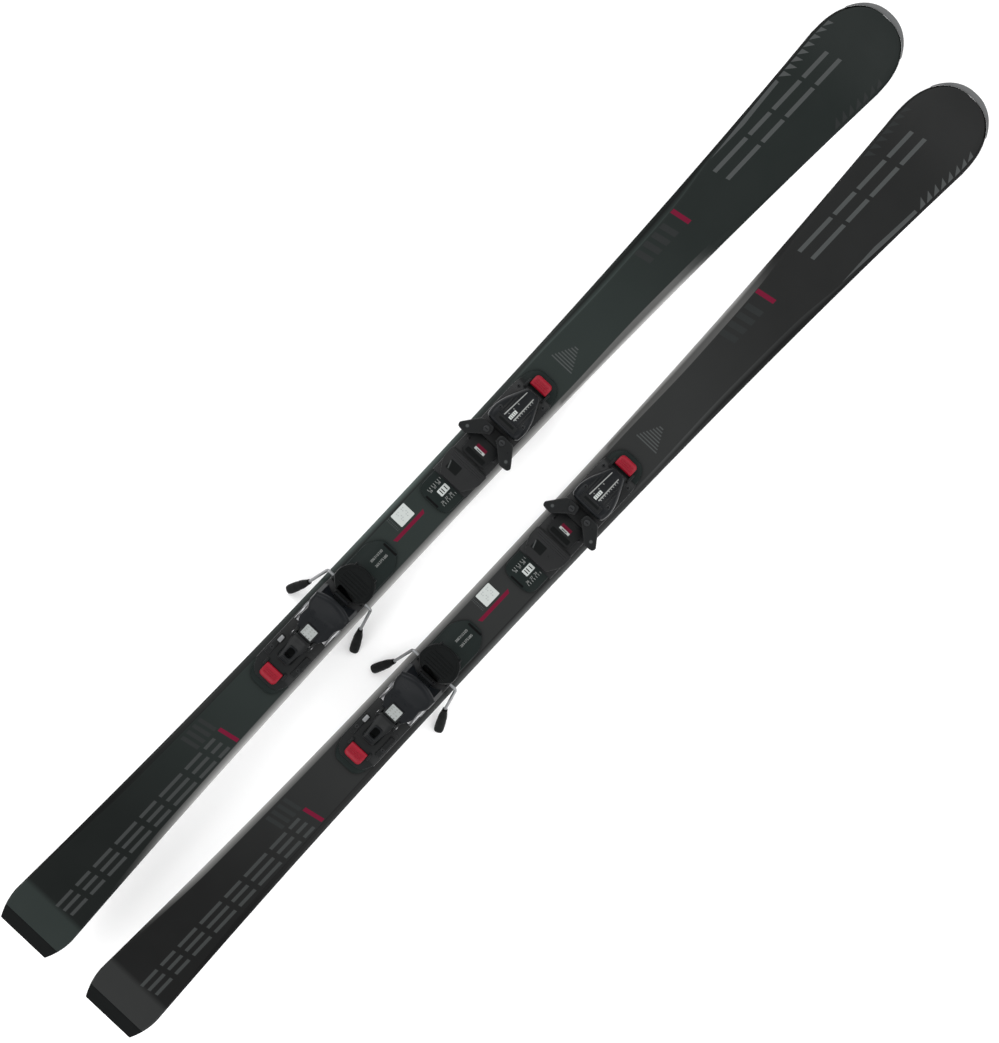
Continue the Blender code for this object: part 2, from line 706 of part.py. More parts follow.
def main():
    clear_scene()
    looks = {
        "topsheet": finish("topsheet", (0.028, 0.034, 0.033), 0.42),
        "wood": finish("wood", (0.55, 0.38, 0.21), 0.6),
        "base": finish("base", (0.02, 0.02, 0.02), 0.5),
        "edge_steel": finish("edge_steel", (0.55, 0.56, 0.57), 0.3, 1.0),
        "bright_steel": finish("bright_steel", (0.6, 0.61, 0.62), 0.28, 1.0),
        "wire_steel": finish("wire_steel", (0.32, 0.33, 0.34), 0.35, 1.0),
        "black_plastic": finish("black_plastic", (0.018, 0.019, 0.02), 0.45),
        "grey_black": finish("grey_black", (0.035, 0.04, 0.04), 0.5),
        "grey_plastic": finish("grey_plastic", (0.26, 0.26, 0.26), 0.45),
        "red_plastic": finish("red_plastic", (0.45, 0.02, 0.04), 0.4),
    }
    pair = empty("pair")
    slope = standing_slope()
    for prefix, side in (("left_", -1), ("right_", 1)):
        frame = empty(prefix + "ski_frame", pair, (side * SKI_SPACING / 2, 0, 0), -math.atan(slope))
        build_ski_body(prefix, looks, frame)
        build_tracks(prefix, looks, frame)
        build_toe_piece(prefix, looks, frame)
        build_heel_base(prefix, looks, frame)
        build_heel_jaw(prefix, looks, frame)
        build_brake(prefix, looks, frame)
    stand_on_floor(pair)


main()
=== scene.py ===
"""Looks for a pair of alpine skis with step-in bindings.

Lengths are in millimetres in each ski's own frame: X to its right, Y from tail to tip, Z up from the
running base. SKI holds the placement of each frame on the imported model, which stands nose down.
"""

from math import atan2, copysign, cos, exp, pi, radians, sin, sqrt

import bmesh
import bpy
from mathutils import Matrix, Vector


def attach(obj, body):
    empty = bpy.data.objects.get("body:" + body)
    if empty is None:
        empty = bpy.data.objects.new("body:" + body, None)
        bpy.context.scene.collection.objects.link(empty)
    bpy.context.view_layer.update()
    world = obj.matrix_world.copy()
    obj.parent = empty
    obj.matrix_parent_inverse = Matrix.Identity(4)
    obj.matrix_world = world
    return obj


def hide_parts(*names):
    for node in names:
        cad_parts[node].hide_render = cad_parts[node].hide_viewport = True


MM = 0.001
LENGTH = 1680.0
SPACING = 154.5
DECK = 18.0
TAIL_GUARD = 17.0
TAIL_AT_WIDEST, WAIST, SHOVEL = 42.0, 714.0, 1596.0  # Y of the outline's three turning points
TAIL_HALF, WAIST_HALF, SHOVEL_HALF = 51.0, 37.0, 60.5
TIP_LENGTH = LENGTH - SHOVEL
LAMINATE_TIP, LAMINATE_HALF = 76.1, 60.1  # the laminate ends inside the tip guard
EDGE_HIGH = 2.25  # the top sheet starts above the steel edge
TRACK_TOP = 23.3
TOE_SCREW_HIGH, JAW_SCREW_HIGH = 37, 17
WING_PIN = (14, 913)
LEVER_PIN = (-30, 24)
JAW_AXLE = (580, 40)
PEDAL_PIN = (662, 30.5)
FOOT_START, FOOT_END = Vector((46.5, 604, -14)), Vector((57.5, 581, -48))
TILT = atan2(0.063358, 0.997991)
SIDES = ((-1, "left"), (1, "right"))
TAIL_AT = (-0.840688, 0.09379)  # where each ski's frame stands: Y and Z, in metres

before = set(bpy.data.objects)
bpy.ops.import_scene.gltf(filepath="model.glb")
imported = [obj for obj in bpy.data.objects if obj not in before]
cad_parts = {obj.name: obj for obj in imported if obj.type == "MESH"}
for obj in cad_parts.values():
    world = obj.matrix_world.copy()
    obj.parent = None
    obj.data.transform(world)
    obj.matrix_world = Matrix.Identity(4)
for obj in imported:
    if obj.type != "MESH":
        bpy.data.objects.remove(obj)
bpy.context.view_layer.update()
SKI = {
    ski: Matrix.Translation((side * SPACING / 2 * MM, *TAIL_AT)) @ Matrix.Rotation(-TILT, 4, "X")
    for ski, side in (("left_", -1), ("right_", 1))
}
JAW = Matrix.Translation(Vector((0, *JAW_AXLE)) * MM) @ Matrix.Rotation(radians(27), 4, "X")
PEDAL = Matrix.Translation(Vector((0, *PEDAL_PIN)) * MM) @ Matrix.Rotation(-radians(18), 4, "X")


# Ski surface


def half_width(y):
    if y < TAIL_AT_WIDEST:
        return TAIL_HALF - 11 * ((TAIL_AT_WIDEST - y) / TAIL_AT_WIDEST) ** 2
    if y < WAIST:
        return WAIST_HALF + (TAIL_HALF - WAIST_HALF) * ((WAIST - y) / (WAIST - TAIL_AT_WIDEST)) ** 2.15
    if y < SHOVEL:
        return WAIST_HALF + (SHOVEL_HALF - WAIST_HALF) * ((y - WAIST) / (SHOVEL - WAIST)) ** 2.3
    t = min((y - SHOVEL) / TIP_LENGTH, 1.0)
    return SHOVEL_HALF * (1 - t**2.2) ** (1 / 2.2)


def laminate_half(y):
    if y < SHOVEL:
        return half_width(y)
    t = (y - SHOVEL) / LAMINATE_TIP
    return min(half_width(y), LAMINATE_HALF * (1 - t**2.35) ** (1 / 2.35))


def base_height(y):
    tail, tip = 60, 1480  # between them lies the camber
    if y < tail:
        return 8 * (1 - y / tail) ** 2
    if y > tip:
        return 60 * ((y - tip) / (LENGTH - tip)) ** 2.2
    return 1.5 * (1 - cos(2 * pi * (y - tail) / (tip - tail)))


def smoothstep(t):
    t = min(max(t, 0.0), 1.0)
    return t * t * (3 - 2 * t)


def top_height(y):
    deck = smoothstep((y - 60) / 370) * smoothstep((1500 - y) / 440)
    return (base_height(y) + 7) * (1 - deck) + DECK * deck


def flank(y):
    front = 3.6 * smoothstep((y - 1015) / 160) * smoothstep((1385 - y) / 90)
    return 2.5 + 5.5 * smoothstep((y - 70) / 170) * smoothstep((1500 - y) / 250) + front


def stations(end):
    """Y of the cross-sections that the long pieces are made of."""
    run = [TAIL_GUARD + 0.3, *(24 + 8.0 * i for i in range(197)), SHOVEL]
    run += [SHOVEL + LAMINATE_TIP * sin(radians(a)) for a in range(4, 85, 4)]
    return [y for y in run if y < end] + ([end] if end < run[-1] else [])


RUN = stations(LENGTH)


# Materials


def put(node, values):
    for name, value in values.items():
        node.inputs[name].default_value = value


def add(tree, kind, values=None):
    node = tree.nodes.new("ShaderNode" + kind)
    put(node, values or {})
    return node


def nodes_of(name):
    material = bpy.data.materials.new(name)
    material.use_nodes = True
    tree = material.node_tree
    return material, tree, tree.nodes["Principled BSDF"]


def grain(tree, shader, scale, height, rounding):
    """A fine moulded grain over edges that are softened in shading."""
    place = add(tree, "TexCoord")
    noise = add(tree, "TexNoise", {"Scale": scale, "Detail": 3})
    tree.links.new(place.outputs["Object"], noise.inputs["Vector"])
    bump = add(tree, "Bump", {"Strength": height, "Distance": 0.0002})
    tree.links.new(noise.outputs["Fac"], bump.inputs["Height"])
    if rounding:
        soft = add(tree, "Bevel", {"Radius": rounding * MM})
        soft.samples = 4
        tree.links.new(soft.outputs["Normal"], bump.inputs["Normal"])
    tree.links.new(bump.outputs["Normal"], shader.inputs["Normal"])
    return place


def mottle(tree, shader, place, scale, rough):
    """Roughness that wanders a little over the surface, as handled surfaces do."""
    noise = add(tree, "TexNoise", {"Scale": scale, "Detail": 4})
    limits = {"From Min": 0.3, "From Max": 0.7, "To Min": rough * 0.85, "To Max": rough * 1.15}
    spread = add(tree, "MapRange", limits)
    tree.links.new(place.outputs["Object"], noise.inputs["Vector"])
    tree.links.new(noise.outputs["Fac"], spread.inputs["Value"])
    tree.links.new(spread.outputs["Result"], shader.inputs["Roughness"])


def plastic(name, colour, rough, scale=1400.0, height=0.12, rounding=0.35, gloss=0.3):
    material, tree, shader = nodes_of(name)
    put(shader, {"Base Color": (*colour, 1), "Specular IOR Level": gloss})
    mottle(tree, shader, grain(tree, shader, scale, height, rounding), 60.0, rough)
    return material


def ink(name, colour, rough=0.35, gloss=0.08):
    return plastic(name, colour, rough, 500, 0.03, 0, gloss)


def metal(name, colour, rough, rounding=0.2):
    material, tree, shader = nodes_of(name)
    put(shader, {"Base Color": (*colour, 1), "Metallic": 1})
    mottle(tree, shader, grain(tree, shader, 900.0, 0.05, rounding), 90.0, rough)
    return material


def tinted(name, rough):
    """A lacquered print whose colour, with its painted light, is painted on the mesh."""
    material, tree, shader = nodes_of(name)
    tint = add(tree, "VertexColor")
    tint.layer_name = "tint"
    tree.links.new(tint.outputs["Color"], shader.inputs["Base Color"])
    put(shader, {"Specular IOR Level": 0.09})
    mottle(tree, shader, grain(tree, shader, 500.0, 0.035, 0), 25.0, rough)
    return material


LOOK = {
    "top": tinted("top_print", 0.33),
    "base": plastic("running_base", (0.014, 0.015, 0.016), 0.42, 300.0, 0.1, 0),
    "edge": metal("edge_steel", (0.44, 0.45, 0.46), 0.26),
    "steel": metal("plated_steel", (0.42, 0.42, 0.43), 0.30),
    "wire": metal("wire_steel", (0.20, 0.205, 0.21), 0.33, 0),
    "bolt": metal("blackened_steel", (0.028, 0.029, 0.030), 0.36),
    "black": plastic("black_plastic", (0.0042, 0.0048, 0.0050), 0.30, gloss=0.15),
    "satin": plastic("satin_black", (0.0040, 0.0048, 0.0058), 0.30, gloss=0.11),
    # Also used for flat dark patches of painted shade in recesses and hollows.
    "matt": plastic("matt_rubber", (0.0018, 0.0024, 0.0024), 0.5, 900.0, 0.2, gloss=0.07),
    "track": plastic("track_plastic", (0.0062, 0.0092, 0.0086), 0.34, gloss=0.06),
    "guard": plastic("guard_plastic", (0.075, 0.077, 0.078), 0.42, gloss=0.2),
    "pad": plastic("sliding_pad", (0.0088, 0.0091, 0.0094), 0.32, gloss=0.14),
    "red": plastic("red_plastic", (0.170, 0.0024, 0.0105), 0.32, gloss=0.18),
    "white": ink("white_label", (0.32, 0.34, 0.33), 0.4, 0.3),
    "label_grey": ink("label_grey", (0.235, 0.25, 0.245), 0.4, 0.3),
    "pale": ink("pale_print", (0.18, 0.185, 0.18), 0.45, 0.3),
    "grey_print": ink("grey_print", (0.0265, 0.0285, 0.0285)),
    "mid_print": ink("mid_print", (0.040, 0.043, 0.043)),
    "faint_print": ink("faint_print", (0.0135, 0.0150, 0.0150)),
    "red_print": ink("red_print", (0.088, 0.0024, 0.0150)),
    # Near-black, for dark print and for flat stand-ins of painted shade in screw recesses and slots.
    "dark": ink("recess", (0.0010, 0.0010, 0.0011), 0.6, 0.05),
}


# Building


def piece(name, ski, points, faces, look, body, replaces=(), angle=32, axis=None, recalc=True):
    """A piece from points in the ski's frame, or in the frame of `axis`, that rides on a CAD body."""
    place = SKI[ski] @ (axis or Matrix.Identity(4))
    mesh = bpy.data.meshes.new(ski + name)
    mesh.from_pydata([place @ (Vector(p) * MM) for p in points], [], faces)
    if recalc:
        form = bmesh.new()
        form.from_mesh(mesh)
        bmesh.ops.recalc_face_normals(form, faces=form.faces)
        form.to_mesh(mesh)
        form.free()
    mesh.shade_smooth()
    mesh.set_sharp_from_angle(angle=radians(angle))
    mesh.materials.append(LOOK[look])
    obj = bpy.data.objects.new(ski + name, mesh)
    bpy.context.collection.objects.link(obj)
    if body:
        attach(obj, ski + body)
    if replaces:
        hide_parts(*[ski + node for node in replaces])
    return obj


def loft(rings):
    """A closed solid through rings of points."""
    count = len(rings[0])
    points = [p for ring in rings for p in ring]
    faces = [tuple(range(count)), tuple(range(len(points) - count, len(points)))]
    for row in range(len(rings) - 1):
        for i in range(count):
            a = row * count + i
            b = row * count + (i + 1) % count
            faces.append((a, b, b + count, a + count))
    return points, faces


def mirrored(right):
    return right + [(-x, y, z) for x, y, z in reversed(right)]


def paint(obj, colour_of):
    """Gives every corner of the mesh a colour from its place in the ski's frame."""
    layer = obj.data.color_attributes.new("tint", "FLOAT_COLOR", "CORNER")
    home = SKI[obj.name.split("_")[0] + "_"].inverted()
    for polygon in obj.data.polygons:
        for corner in polygon.loop_indices:
            place = home @ obj.data.vertices[obj.data.loops[corner].vertex_index].co / MM
            layer.data[corner].color = (*colour_of(place), 1)


def drape(name, ski, shapes, look, lift=0.07, height=top_height, body="ski"):
    """Printed shapes, outlines of (x, y), laid on the top of the ski."""
    form = bmesh.new()
    for shape in shapes:
        form.faces.new([form.verts.new((x, y, 0)) for x, y in shape])
    low, high = min(v.co.y for v in form.verts), max(v.co.y for v in form.verts)
    for y in RUN:
        if low < y < high:
            everything = form.verts[:] + form.edges[:] + form.faces[:]
            bmesh.ops.bisect_plane(form, geom=everything, plane_co=(0, y, 0), plane_no=(0, 1, 0))
    for vert in form.verts:
        vert.co.z = surface(vert.co.y, height) + lift
    bmesh.ops.recalc_face_normals(form, faces=form.faces)
    for face in form.faces:
        if face.normal.z < 0:
            face.normal_flip()
    form.verts.index_update()
    points = [tuple(v.co) for v in form.verts]
    faces = [tuple(v.index for v in f.verts) for f in form.faces]
    form.free()
    return piece(name, ski, points, faces, look, body, recalc=False)


def surface(y, height):
    """Height of the faceted visual surface between two stations."""
    for a, b in zip(RUN, RUN[1:]):
        if a <= y <= b:
            t = (y - a) / (b - a)
            return height(a) * (1 - t) + height(b) * t
    return height(y)


# Ski body


def top_ring(y):
    half, low, top, slope = laminate_half(y), base_height(y) + EDGE_HIGH, top_height(y), flank(y)
    rise = top - low
    right = [
        (half - 2.1, y, low),
        (half - 0.15, y, low),
        (half, y, low + 0.25),
        (half, y, low + 1.15),
        (half - 0.35, y, low + 1.5),
        (half - 0.42 * slope, y, low + 0.52 * rise),
        (half - 0.5 * slope, y, low + 0.56 * rise),
        (half - slope, y, top - 0.5),
        (half - slope - 0.5, y, top - 0.12),
        (half - slope - 1.3, y, top),
    ]
    right += [((half - slope - 1.3) * k, y, top) for k in (0.85, 0.6, 0.3)]
    return mirrored(right)


def top_colour(ski):
    """Charcoal, darkest at the tail, with a two-tone grey inner flank that fades out before the shovel. The inner
    flank grows lighter towards its lower edge as painted light from the floor; the outer flank has a painted highlight
    along its upper crease and is lighter low down, most at the waist. The left ski's inner flank is painted lighter
    and its top greener than the right ski's: painted light on one of two like skis.
    """
    # The left ski's inner flank is lighter and its top greener than the right's: painted light, as the two skis are
    # alike.
    if ski == "left_":
        side, cast, near, far = 1, Vector((0.84, 1.12, 1.04)), 0.075, 0.33
        fade_start, fade_run, fade_end = 110, 260, 1300
    else:
        side, cast, near, far = -1, Vector((0.97, 1.02, 1.01)), 0.055, 0.22
        fade_start, fade_run, fade_end = 90, 150, 1350

    def colour_of(place):
        x, y = place.x, place.y
        half, slope, top = laminate_half(y), flank(y), top_height(y)
        share = 0.0042 + 0.0108 * smoothstep((y - 160) / 380) - 0.0062 * smoothstep((y - 1080) / 240)
        field = cast * share
        if y < 57.5:
            return cast * 0.0155
        if abs(x) < half - slope - 0.6 or place.z > top - 0.05:
            return field
        down = min(max((abs(x) - half + slope) / slope, 0.0), 1.0)
        if x * side > 0:
            shown = smoothstep((y - fade_start) / fade_run) * smoothstep((fade_end - y) / 90)
            # Lighter towards the lower edge: painted light from the floor.
            grey = near + (far - near) * down**1.6
            if 0.45 < down < 0.62 and y > 1000:
                grey *= 0.45
            return field * (1 - shown) + Vector((grey, grey, grey * 0.98)) * shown
        # Outer flank: a painted highlight along the upper crease, lighter towards the lower edge and low down at the
        # waist.
        line = smoothstep((y - 900) / 150) * smoothstep((1450 - y) / 120)
        waist = 0.062 * down * exp(-(((y - 760) / 150) ** 2))
        return field * (0.3 + 1.5 * line * (down < 0.1) + 1.4 * max(down - 0.7, 0)) + cast * waist

    return colour_of


def tip_ring(turn, outer, inner, high):
    """The tip guard's section where its outline has turned by the given angle."""

    def outline(half, length, roundness):
        power = 2 / roundness
        side = copysign(abs(cos(turn)) ** power, cos(turn))
        return half * side, SHOVEL + length * sin(turn) ** power

    out_x, out_y = outline(*outer)
    in_x, in_y = outline(*inner)
    ring = []
    for t, z in ((0, 0), (0, high - 1.6), (0.12, high - 0.7), (0.3, high), (0.9, high), (1, high - 0.4), (1, 0)):
        x, y = out_x + (in_x - out_x) * t, out_y + (in_y - out_y) * t
        ring.append((x, y, base_height(y) + z))
    return ring


def build_ski(ski):
    sheet = loft([top_ring(y) for y in RUN])
    top = piece("top_sheet", ski, *sheet, "top", "ski", ("top_shell", "wood_core"), 28)
    paint(top, top_colour(ski))
    base = []
    for y in RUN:
        half, low = laminate_half(y) - 2.1, base_height(y)
        base.append(mirrored([(half, y, low), (half, y, low + 1.6)]))
    piece("base", ski, *loft(base), "base", "ski", ("base_sheet",))
    for name, side in (("edge_left", -1), ("edge_right", 1)):
        rings = []
        for y in stations(1650):
            out, low = laminate_half(y), base_height(y)
            section = ((-2.0, 0), (-0.15, 0), (0, 0.15), (0, 1.95), (-0.15, 2.1), (-2.0, 2.1))
            rings.append([(side * (out + x), y, low + z) for x, z in section])
        piece("steel_" + name, ski, *loft(rings), "edge", "ski", (name,))
    rings = []
    for y in (0.0, 0.5, 2.0, 5.0, 9.0, 13.0, 16.9, TAIL_GUARD + 0.26):
        half, low, high = half_width(y) - (0.5 if y == 0 else 0), base_height(y), top_height(y)
        dip = 0.4 if y == 0 else 0.25 if y > TAIL_GUARD else 0.0
        section = [(half, y, low + dip), (half, y, low + 4.2)]
        section += [(half - 0.7, y, high - 1.2), (half - 2.4, y, high - dip)]
        rings.append(mirrored(section))
    piece("tail_block", ski, *loft(rings), "matt", "ski", ("tail_guard",))
    turns = [radians(36 + 108 * i / 64) for i in range(65)]
    rim = [tip_ring(a, (SHOVEL_HALF, TIP_LENGTH, 2.2), (60.4, 76.2, 2.35), 7.3) for a in turns]
    piece("tip_block", ski, *loft(rim), "guard", "ski", ("tip_guard",), 40)


def slant(x0, x1, y0, y1, lean):
    """A bar across the ski whose right end is further along by `lean`."""
    return [(x0, y0), (x1, y0 + lean), (x1, y1 + lean), (x0, y1)]


def louvre(x0, x1, y, width, lean, count, fill):
    """A leaning block of parallel bars along the ski."""
    step = (x1 - x0) / (count - 1 + fill)
    bars = []
    for i in range(count):
        left = x0 + i * step
        shift = lean * (left - x0) / (x1 - x0)
        rise = lean * step * fill / (x1 - x0)
        bars.append(slant(left, left + step * fill, y + shift, y + width + shift, rise))
    return bars


def build_prints(ski):
    out = -1 if ski == "left_" else 1
    tail = ((60, 30), (98, 26), (132, 34), (174, 40), (222, 30), (260, 42), (310, 30), (347, 19))
    shovel = ((1368, 62), (1436, 40), (1482, 52), (1540, 46))
    cells = [(-24 + 3 * i, 745 + 3 * j) for i in range(5) for j in range(6) if (i * 3 + j * j + i * j) % 3]
    dots = [(-27 + 2.4 * i, 733.5 + 2.6 * j) for i in range(9) for j in range(2)]
    crest = [(18 - 2.1 * i, 1043 + 4.1 * i) for i in range(8)]
    for name, shapes, look, *lift in (
        ("tail_bars", [bar for y, width in tail for bar in louvre(2.5, 29, y, width, 6, 3, 0.42)], "grey_print"),
        ("tail_mark", [slant(0.5, 29.5, 377, 383, 6)], "red_print"),
        ("tail_facets", [slant(-28, -2, y, y + 6, 5) for y in (335, 346, 357, 368)], "faint_print"),
        ("waist_line", [[(-2.4, 720), (2.8, 723), (2.8, 775), (-2.4, 778)]], "red_print"),
        ("waist_sticker", [fillet(rect(-27, -6, 741, 766), 1.5)], "white"),
        ("waist_code", [rect(x, x + 1.6, y, y + 1.6) for x, y in cells], "label_grey", 0.12),
        ("waist_dots", [rect(x, x + 1.2, y, y + 1.2) for x, y in dots], "mid_print"),
        ("crest", [rect(-x, x, y, y + 1.7) for x, y in crest], "mid_print"),
        ("shovel_facets", [slant(-30, -6, y, y + 9, 5) for y in (1216, 1232, 1248, 1264)], "faint_print"),
        ("shovel_mark", [slant(-33, -5, 1289, 1296, 5)], "red_print"),
        ("shovel_bars", [bar for y, width in shovel for bar in louvre(-30, -5, y, width, 6, 2, 0.3)], "mid_print"),
    ):
        drape(name, ski, shapes, look, *lift)
    edge = []
    for i in range(17):
        y = 1378 + 8 * i
        near, far = (1.6 + (6.8 - 0.1 * i) * min((i + k) / 8, 1) for k in (0.1, 1))
        corners = ((0, 1.6), (8, 1.6), (8, far), (0, near))
        edge.append([(out * (laminate_half(y + k) - flank(y + k) - inset), y + k) for k, inset in corners])
    drape("edge_stripe", ski, edge, "mid_print")
    for name, far, count, look in (("edge_teeth", out, 8, "mid_print"), ("edge_notches", -out, 7, "faint_print")):
        teeth = []
        for i in range(count):
            y = 1519 + 12.6 * i
            x = laminate_half(y + 6) - flank(y + 6) - 2
            teeth.append([(far * x, y), (far * x, y + 10.5), (far * (x - 11.5 + 0.5 * i), y + 13)])
        drape(name, ski, teeth, look)


# Outlines and solids


def rect(x0, x1, y0, y1):
    return [(x0, y0), (x1, y0), (x1, y1), (x0, y1)]


def both(right):
    """A closed outline from its right half, given from rear to front."""
    return right + [(-x, y) for x, y in reversed(right)]


def fillet(outline, radius, steps=3):
    """The closed outline with every corner rounded."""
    smooth = []
    count = len(outline)
    for i in range(count):
        before, corner, after = (Vector(outline[(i + k) % count]) for k in (-1, 0, 1))
        reach = min(radius, (before - corner).length * 0.48, (after - corner).length * 0.48)
        start = corner + (before - corner).normalized() * reach
        end = corner + (after - corner).normalized() * reach
        for step in range(steps + 1):
            t = step / steps
            smooth.append(tuple(start * (1 - t) ** 2 + corner * 2 * t * (1 - t) + end * t**2))
    return smooth


def inset(outline, depth):
    """The outline moved inwards, with mitred corners."""
    area = sum(a[0] * b[1] - b[0] * a[1] for a, b in zip(outline, outline[1:] + outline[:1]))
    turn = 1 if area > 0 else -1
    moved = []
    for i, point in enumerate(outline):
        before, after = Vector(outline[i - 1]), Vector(outline[(i + 1) % len(outline)])
        first, second = (Vector(point) - before).normalized(), (after - Vector(point)).normalized()
        normals = [Vector((-d.y, d.x)) * turn for d in (first, second)]
        middle = (normals[0] + normals[1]).normalized()
        moved.append(tuple(Vector(point) + middle * depth / max(middle.dot(normals[0]), 0.5)))
    return moved


def stack(outline, levels):
    """A solid over an outline of (x, y) that is moved inwards by a depth at each height."""
    return loft([[(x, y, z) for x, y in (inset(outline, depth) if depth else outline)] for z, depth in levels])


def slab(outline, low, high, soft=0.8, under=0.3):
    """A plate with a rounded upper edge."""
    levels = [(low, under), (low + under, 0)] if under else [(low, 0)]
    levels += [(high - soft + soft * sin(a), soft * (1 - cos(a))) for a in (0, 0.55, 1.05, pi / 2)]
    return stack(outline, levels)


def pillow(outline, low, high, soft=0.8):
    """A plate rounded on both its faces."""
    turns = (pi / 2, 1.0, 0.5, 0)
    levels = [(low + soft - soft * sin(a), soft * (1 - cos(a))) for a in turns]
    levels += [(high - soft + soft * sin(a), soft * (1 - cos(a))) for a in reversed(turns)]
    return stack(outline, [(low, soft + 0.3), *levels, (high, soft + 0.3)])


def prism(outline, low, high):
    """A plate with sharp edges, as a cutter needs."""
    return stack(outline, [(low, 0), (high, 0)])


def pair(x0, x1, y0, y1, low, high, corner, soft):
    """Two blocks, one on each side of the middle."""
    plans = (fillet(rect(*sorted((side * x0, side * x1)), y0, y1), corner) for side in (-1, 1))
    return [slab(plan, low, high, soft, 0) for plan in plans]


def side_ribs(places, low, high):
    """Short ribs along both sides of a carriage."""
    plans = [rect(side * 29.0 - 0.7, side * 29.0 + 0.7, y, y + 1.6) for side in (-1, 1) for y in places]
    return [slab(plan, low, high, 0.3, 0) for plan in plans]


def ridges(places, low, lean):
    """Ridges across the thumb rest of a lock lever."""
    made = []
    for i, y in enumerate(places):
        top = 32.7 - lean * i
        made.append(across(slab([(y, low), (y + 1.1, low), (y + 0.9, top), (y + 0.2, top)], -10, 10, 0.3, 0)))
    return made


def hoop(sections):
    """A closed ring through its cross-sections."""
    turns, wide = len(sections), len(sections[0])
    faces = []
    for i in range(turns):
        here, there = wide * i, wide * ((i + 1) % turns)
        faces += [(here + j, here + (j + 1) % wide, there + (j + 1) % wide, there + j) for j in range(wide)]
    return [point for section in sections for point in section], faces


def across(solid):
    """A solid over (y, z) outlines, turned to run along X."""
    points, faces = solid
    return [(z, x, y) for x, y, z in points], faces


def lengthwise(solid):
    """A solid over (x, z) outlines, turned to run along Y."""
    points, faces = solid
    return [(x, z, y) for x, y, z in points], faces


def sided(solid, side):
    """The solid as it is, or its mirror image on the left."""
    points, faces = solid
    return [(side * x, y, z) for x, y, z in points], faces


def thumb(profile, hinge):
    """A lever over a (y, z) profile whose free end has rounded corners in plan."""
    half, radius, soft = 13.8, 5.5, 1.0
    levels = [(-half, soft)]
    levels += [(-half + soft * (1 - cos(a)), soft * (1 - sin(a))) for a in (0.5, 1.0, 1.57)]
    levels += [(x, 0) for x in (-half + radius * 0.5, -half + radius, -half + radius * 1.6, 0)]
    levels += [(-x, depth) for x, depth in reversed(levels[:-1])]
    rings = []
    for x, depth in levels:
        outline = inset(profile, depth) if depth else profile
        over = max(abs(x) - (half - radius), 0) / radius
        back = radius * (1 - sqrt(1 - min(over, 1) ** 2))
        reach = max(abs(y - hinge) for y, z in profile)
        ring = []
        for y, z in outline:
            share = min(abs(y - hinge) / reach, 1) ** 2
            ring.append((x, y - copysign(back, y - hinge) * share, z))
        rings.append(ring)
    return loft(rings)


def joined(*solids):
    points, faces = [], []
    for more_points, more_faces in solids:
        base = len(points)
        points += list(more_points)
        faces += [tuple(base + i for i in face) for face in more_faces]
    return points, faces


def circle(radius, centre=(0, 0), sides=28):
    turns = [2 * pi * i / sides for i in range(sides)]
    return [(centre[0] + radius * cos(a), centre[1] + radius * sin(a)) for a in turns]


def rows(table, steps=5):
    """The table of numbers with smooth rows put between its own."""
    made = []
    for i in range(len(table) - 1):
        a, b, c, d = (table[min(max(i + k, 0), len(table) - 1)] for k in (-1, 0, 1, 2))
        for step in range(steps):
            t = step / steps
            row = []
            for p, q, r, s in zip(a, b, c, d):
                curve = (2 * p - 5 * q + 4 * r - s) * t**2 + (3 * q - p - 3 * r + s) * t**3
                row.append(0.5 * (2 * q + (r - p) * t + curve))
            made.append(tuple(row))
    return made + [tuple(table[-1])]


def hood(table, radius, low):
    """A cover with round shoulders through (y, half width, top) rows."""
    rings = []
    for y, half, top in table:
        turn = min(radius, half * 0.6)
        right = [(half + 0.4, y, low), (half + 0.3, y, low + 3)]
        for a in (0, 0.4, 0.8, 1.2, pi / 2):
            right.append((half - turn + turn * cos(a), y, top - turn + turn * sin(a)))
        right.append(((half - turn) * 0.45, y, top + 0.35))
        rings.append(mirrored(right))
    return loft(rings)


def cut(obj, ski, solid, axis=None):
    """Takes a hidden solid away from the piece."""
    tool = piece(obj.name.split("_", 1)[1] + "_tool", ski, *solid, "dark", None, axis=axis)
    tool.hide_render = True
    tool.display_type = "WIRE"
    tool.parent = obj
    tool.matrix_parent_inverse = obj.matrix_world.inverted()
    step = obj.modifiers.new("cut", "BOOLEAN")
    step.operation = "DIFFERENCE"
    step.use_self = True
    step.object = tool
    crease = obj.modifiers.new("crease", "EDGE_SPLIT")
    crease.split_angle = radians(34)


def flat(name, ski, shapes, z, look, body, axis=None):
    """Printed shapes on a flat surface at height z."""
    points, faces = [], []
    for shape in shapes:
        faces.append(tuple(range(len(points), len(points) + len(shape))))
        points += [(x, y, z) for x, y in shape]
    area = sum(a[0] * b[1] - b[0] * a[1] for a, b in zip(shapes[0], shapes[0][1:] + shapes[0][:1]))
    if area < 0:
        faces = [tuple(reversed(face)) for face in faces]
    return piece(name, ski, points, faces, look, body, axis=axis, recalc=False)


def figures(name, ski, words, at, size, look, body, axis=None, turn=90):
    """Small printed figures of a scale."""
    text = bpy.data.curves.new(ski + name, "FONT")
    text.body = words
    text.size = size * MM
    text.align_x = "CENTER"
    text.align_y = "CENTER"
    text.extrude = 0.02 * MM
    text.materials.append(LOOK[look])
    obj = bpy.data.objects.new(ski + name, text)
    placed = Matrix.Translation(Vector(at) * MM) @ Matrix.Rotation(radians(turn), 4, "Z")
    obj.matrix_world = SKI[ski] @ (axis or Matrix.Identity(4)) @ placed
    bpy.context.collection.objects.link(obj)
    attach(obj, ski + body)
    return obj


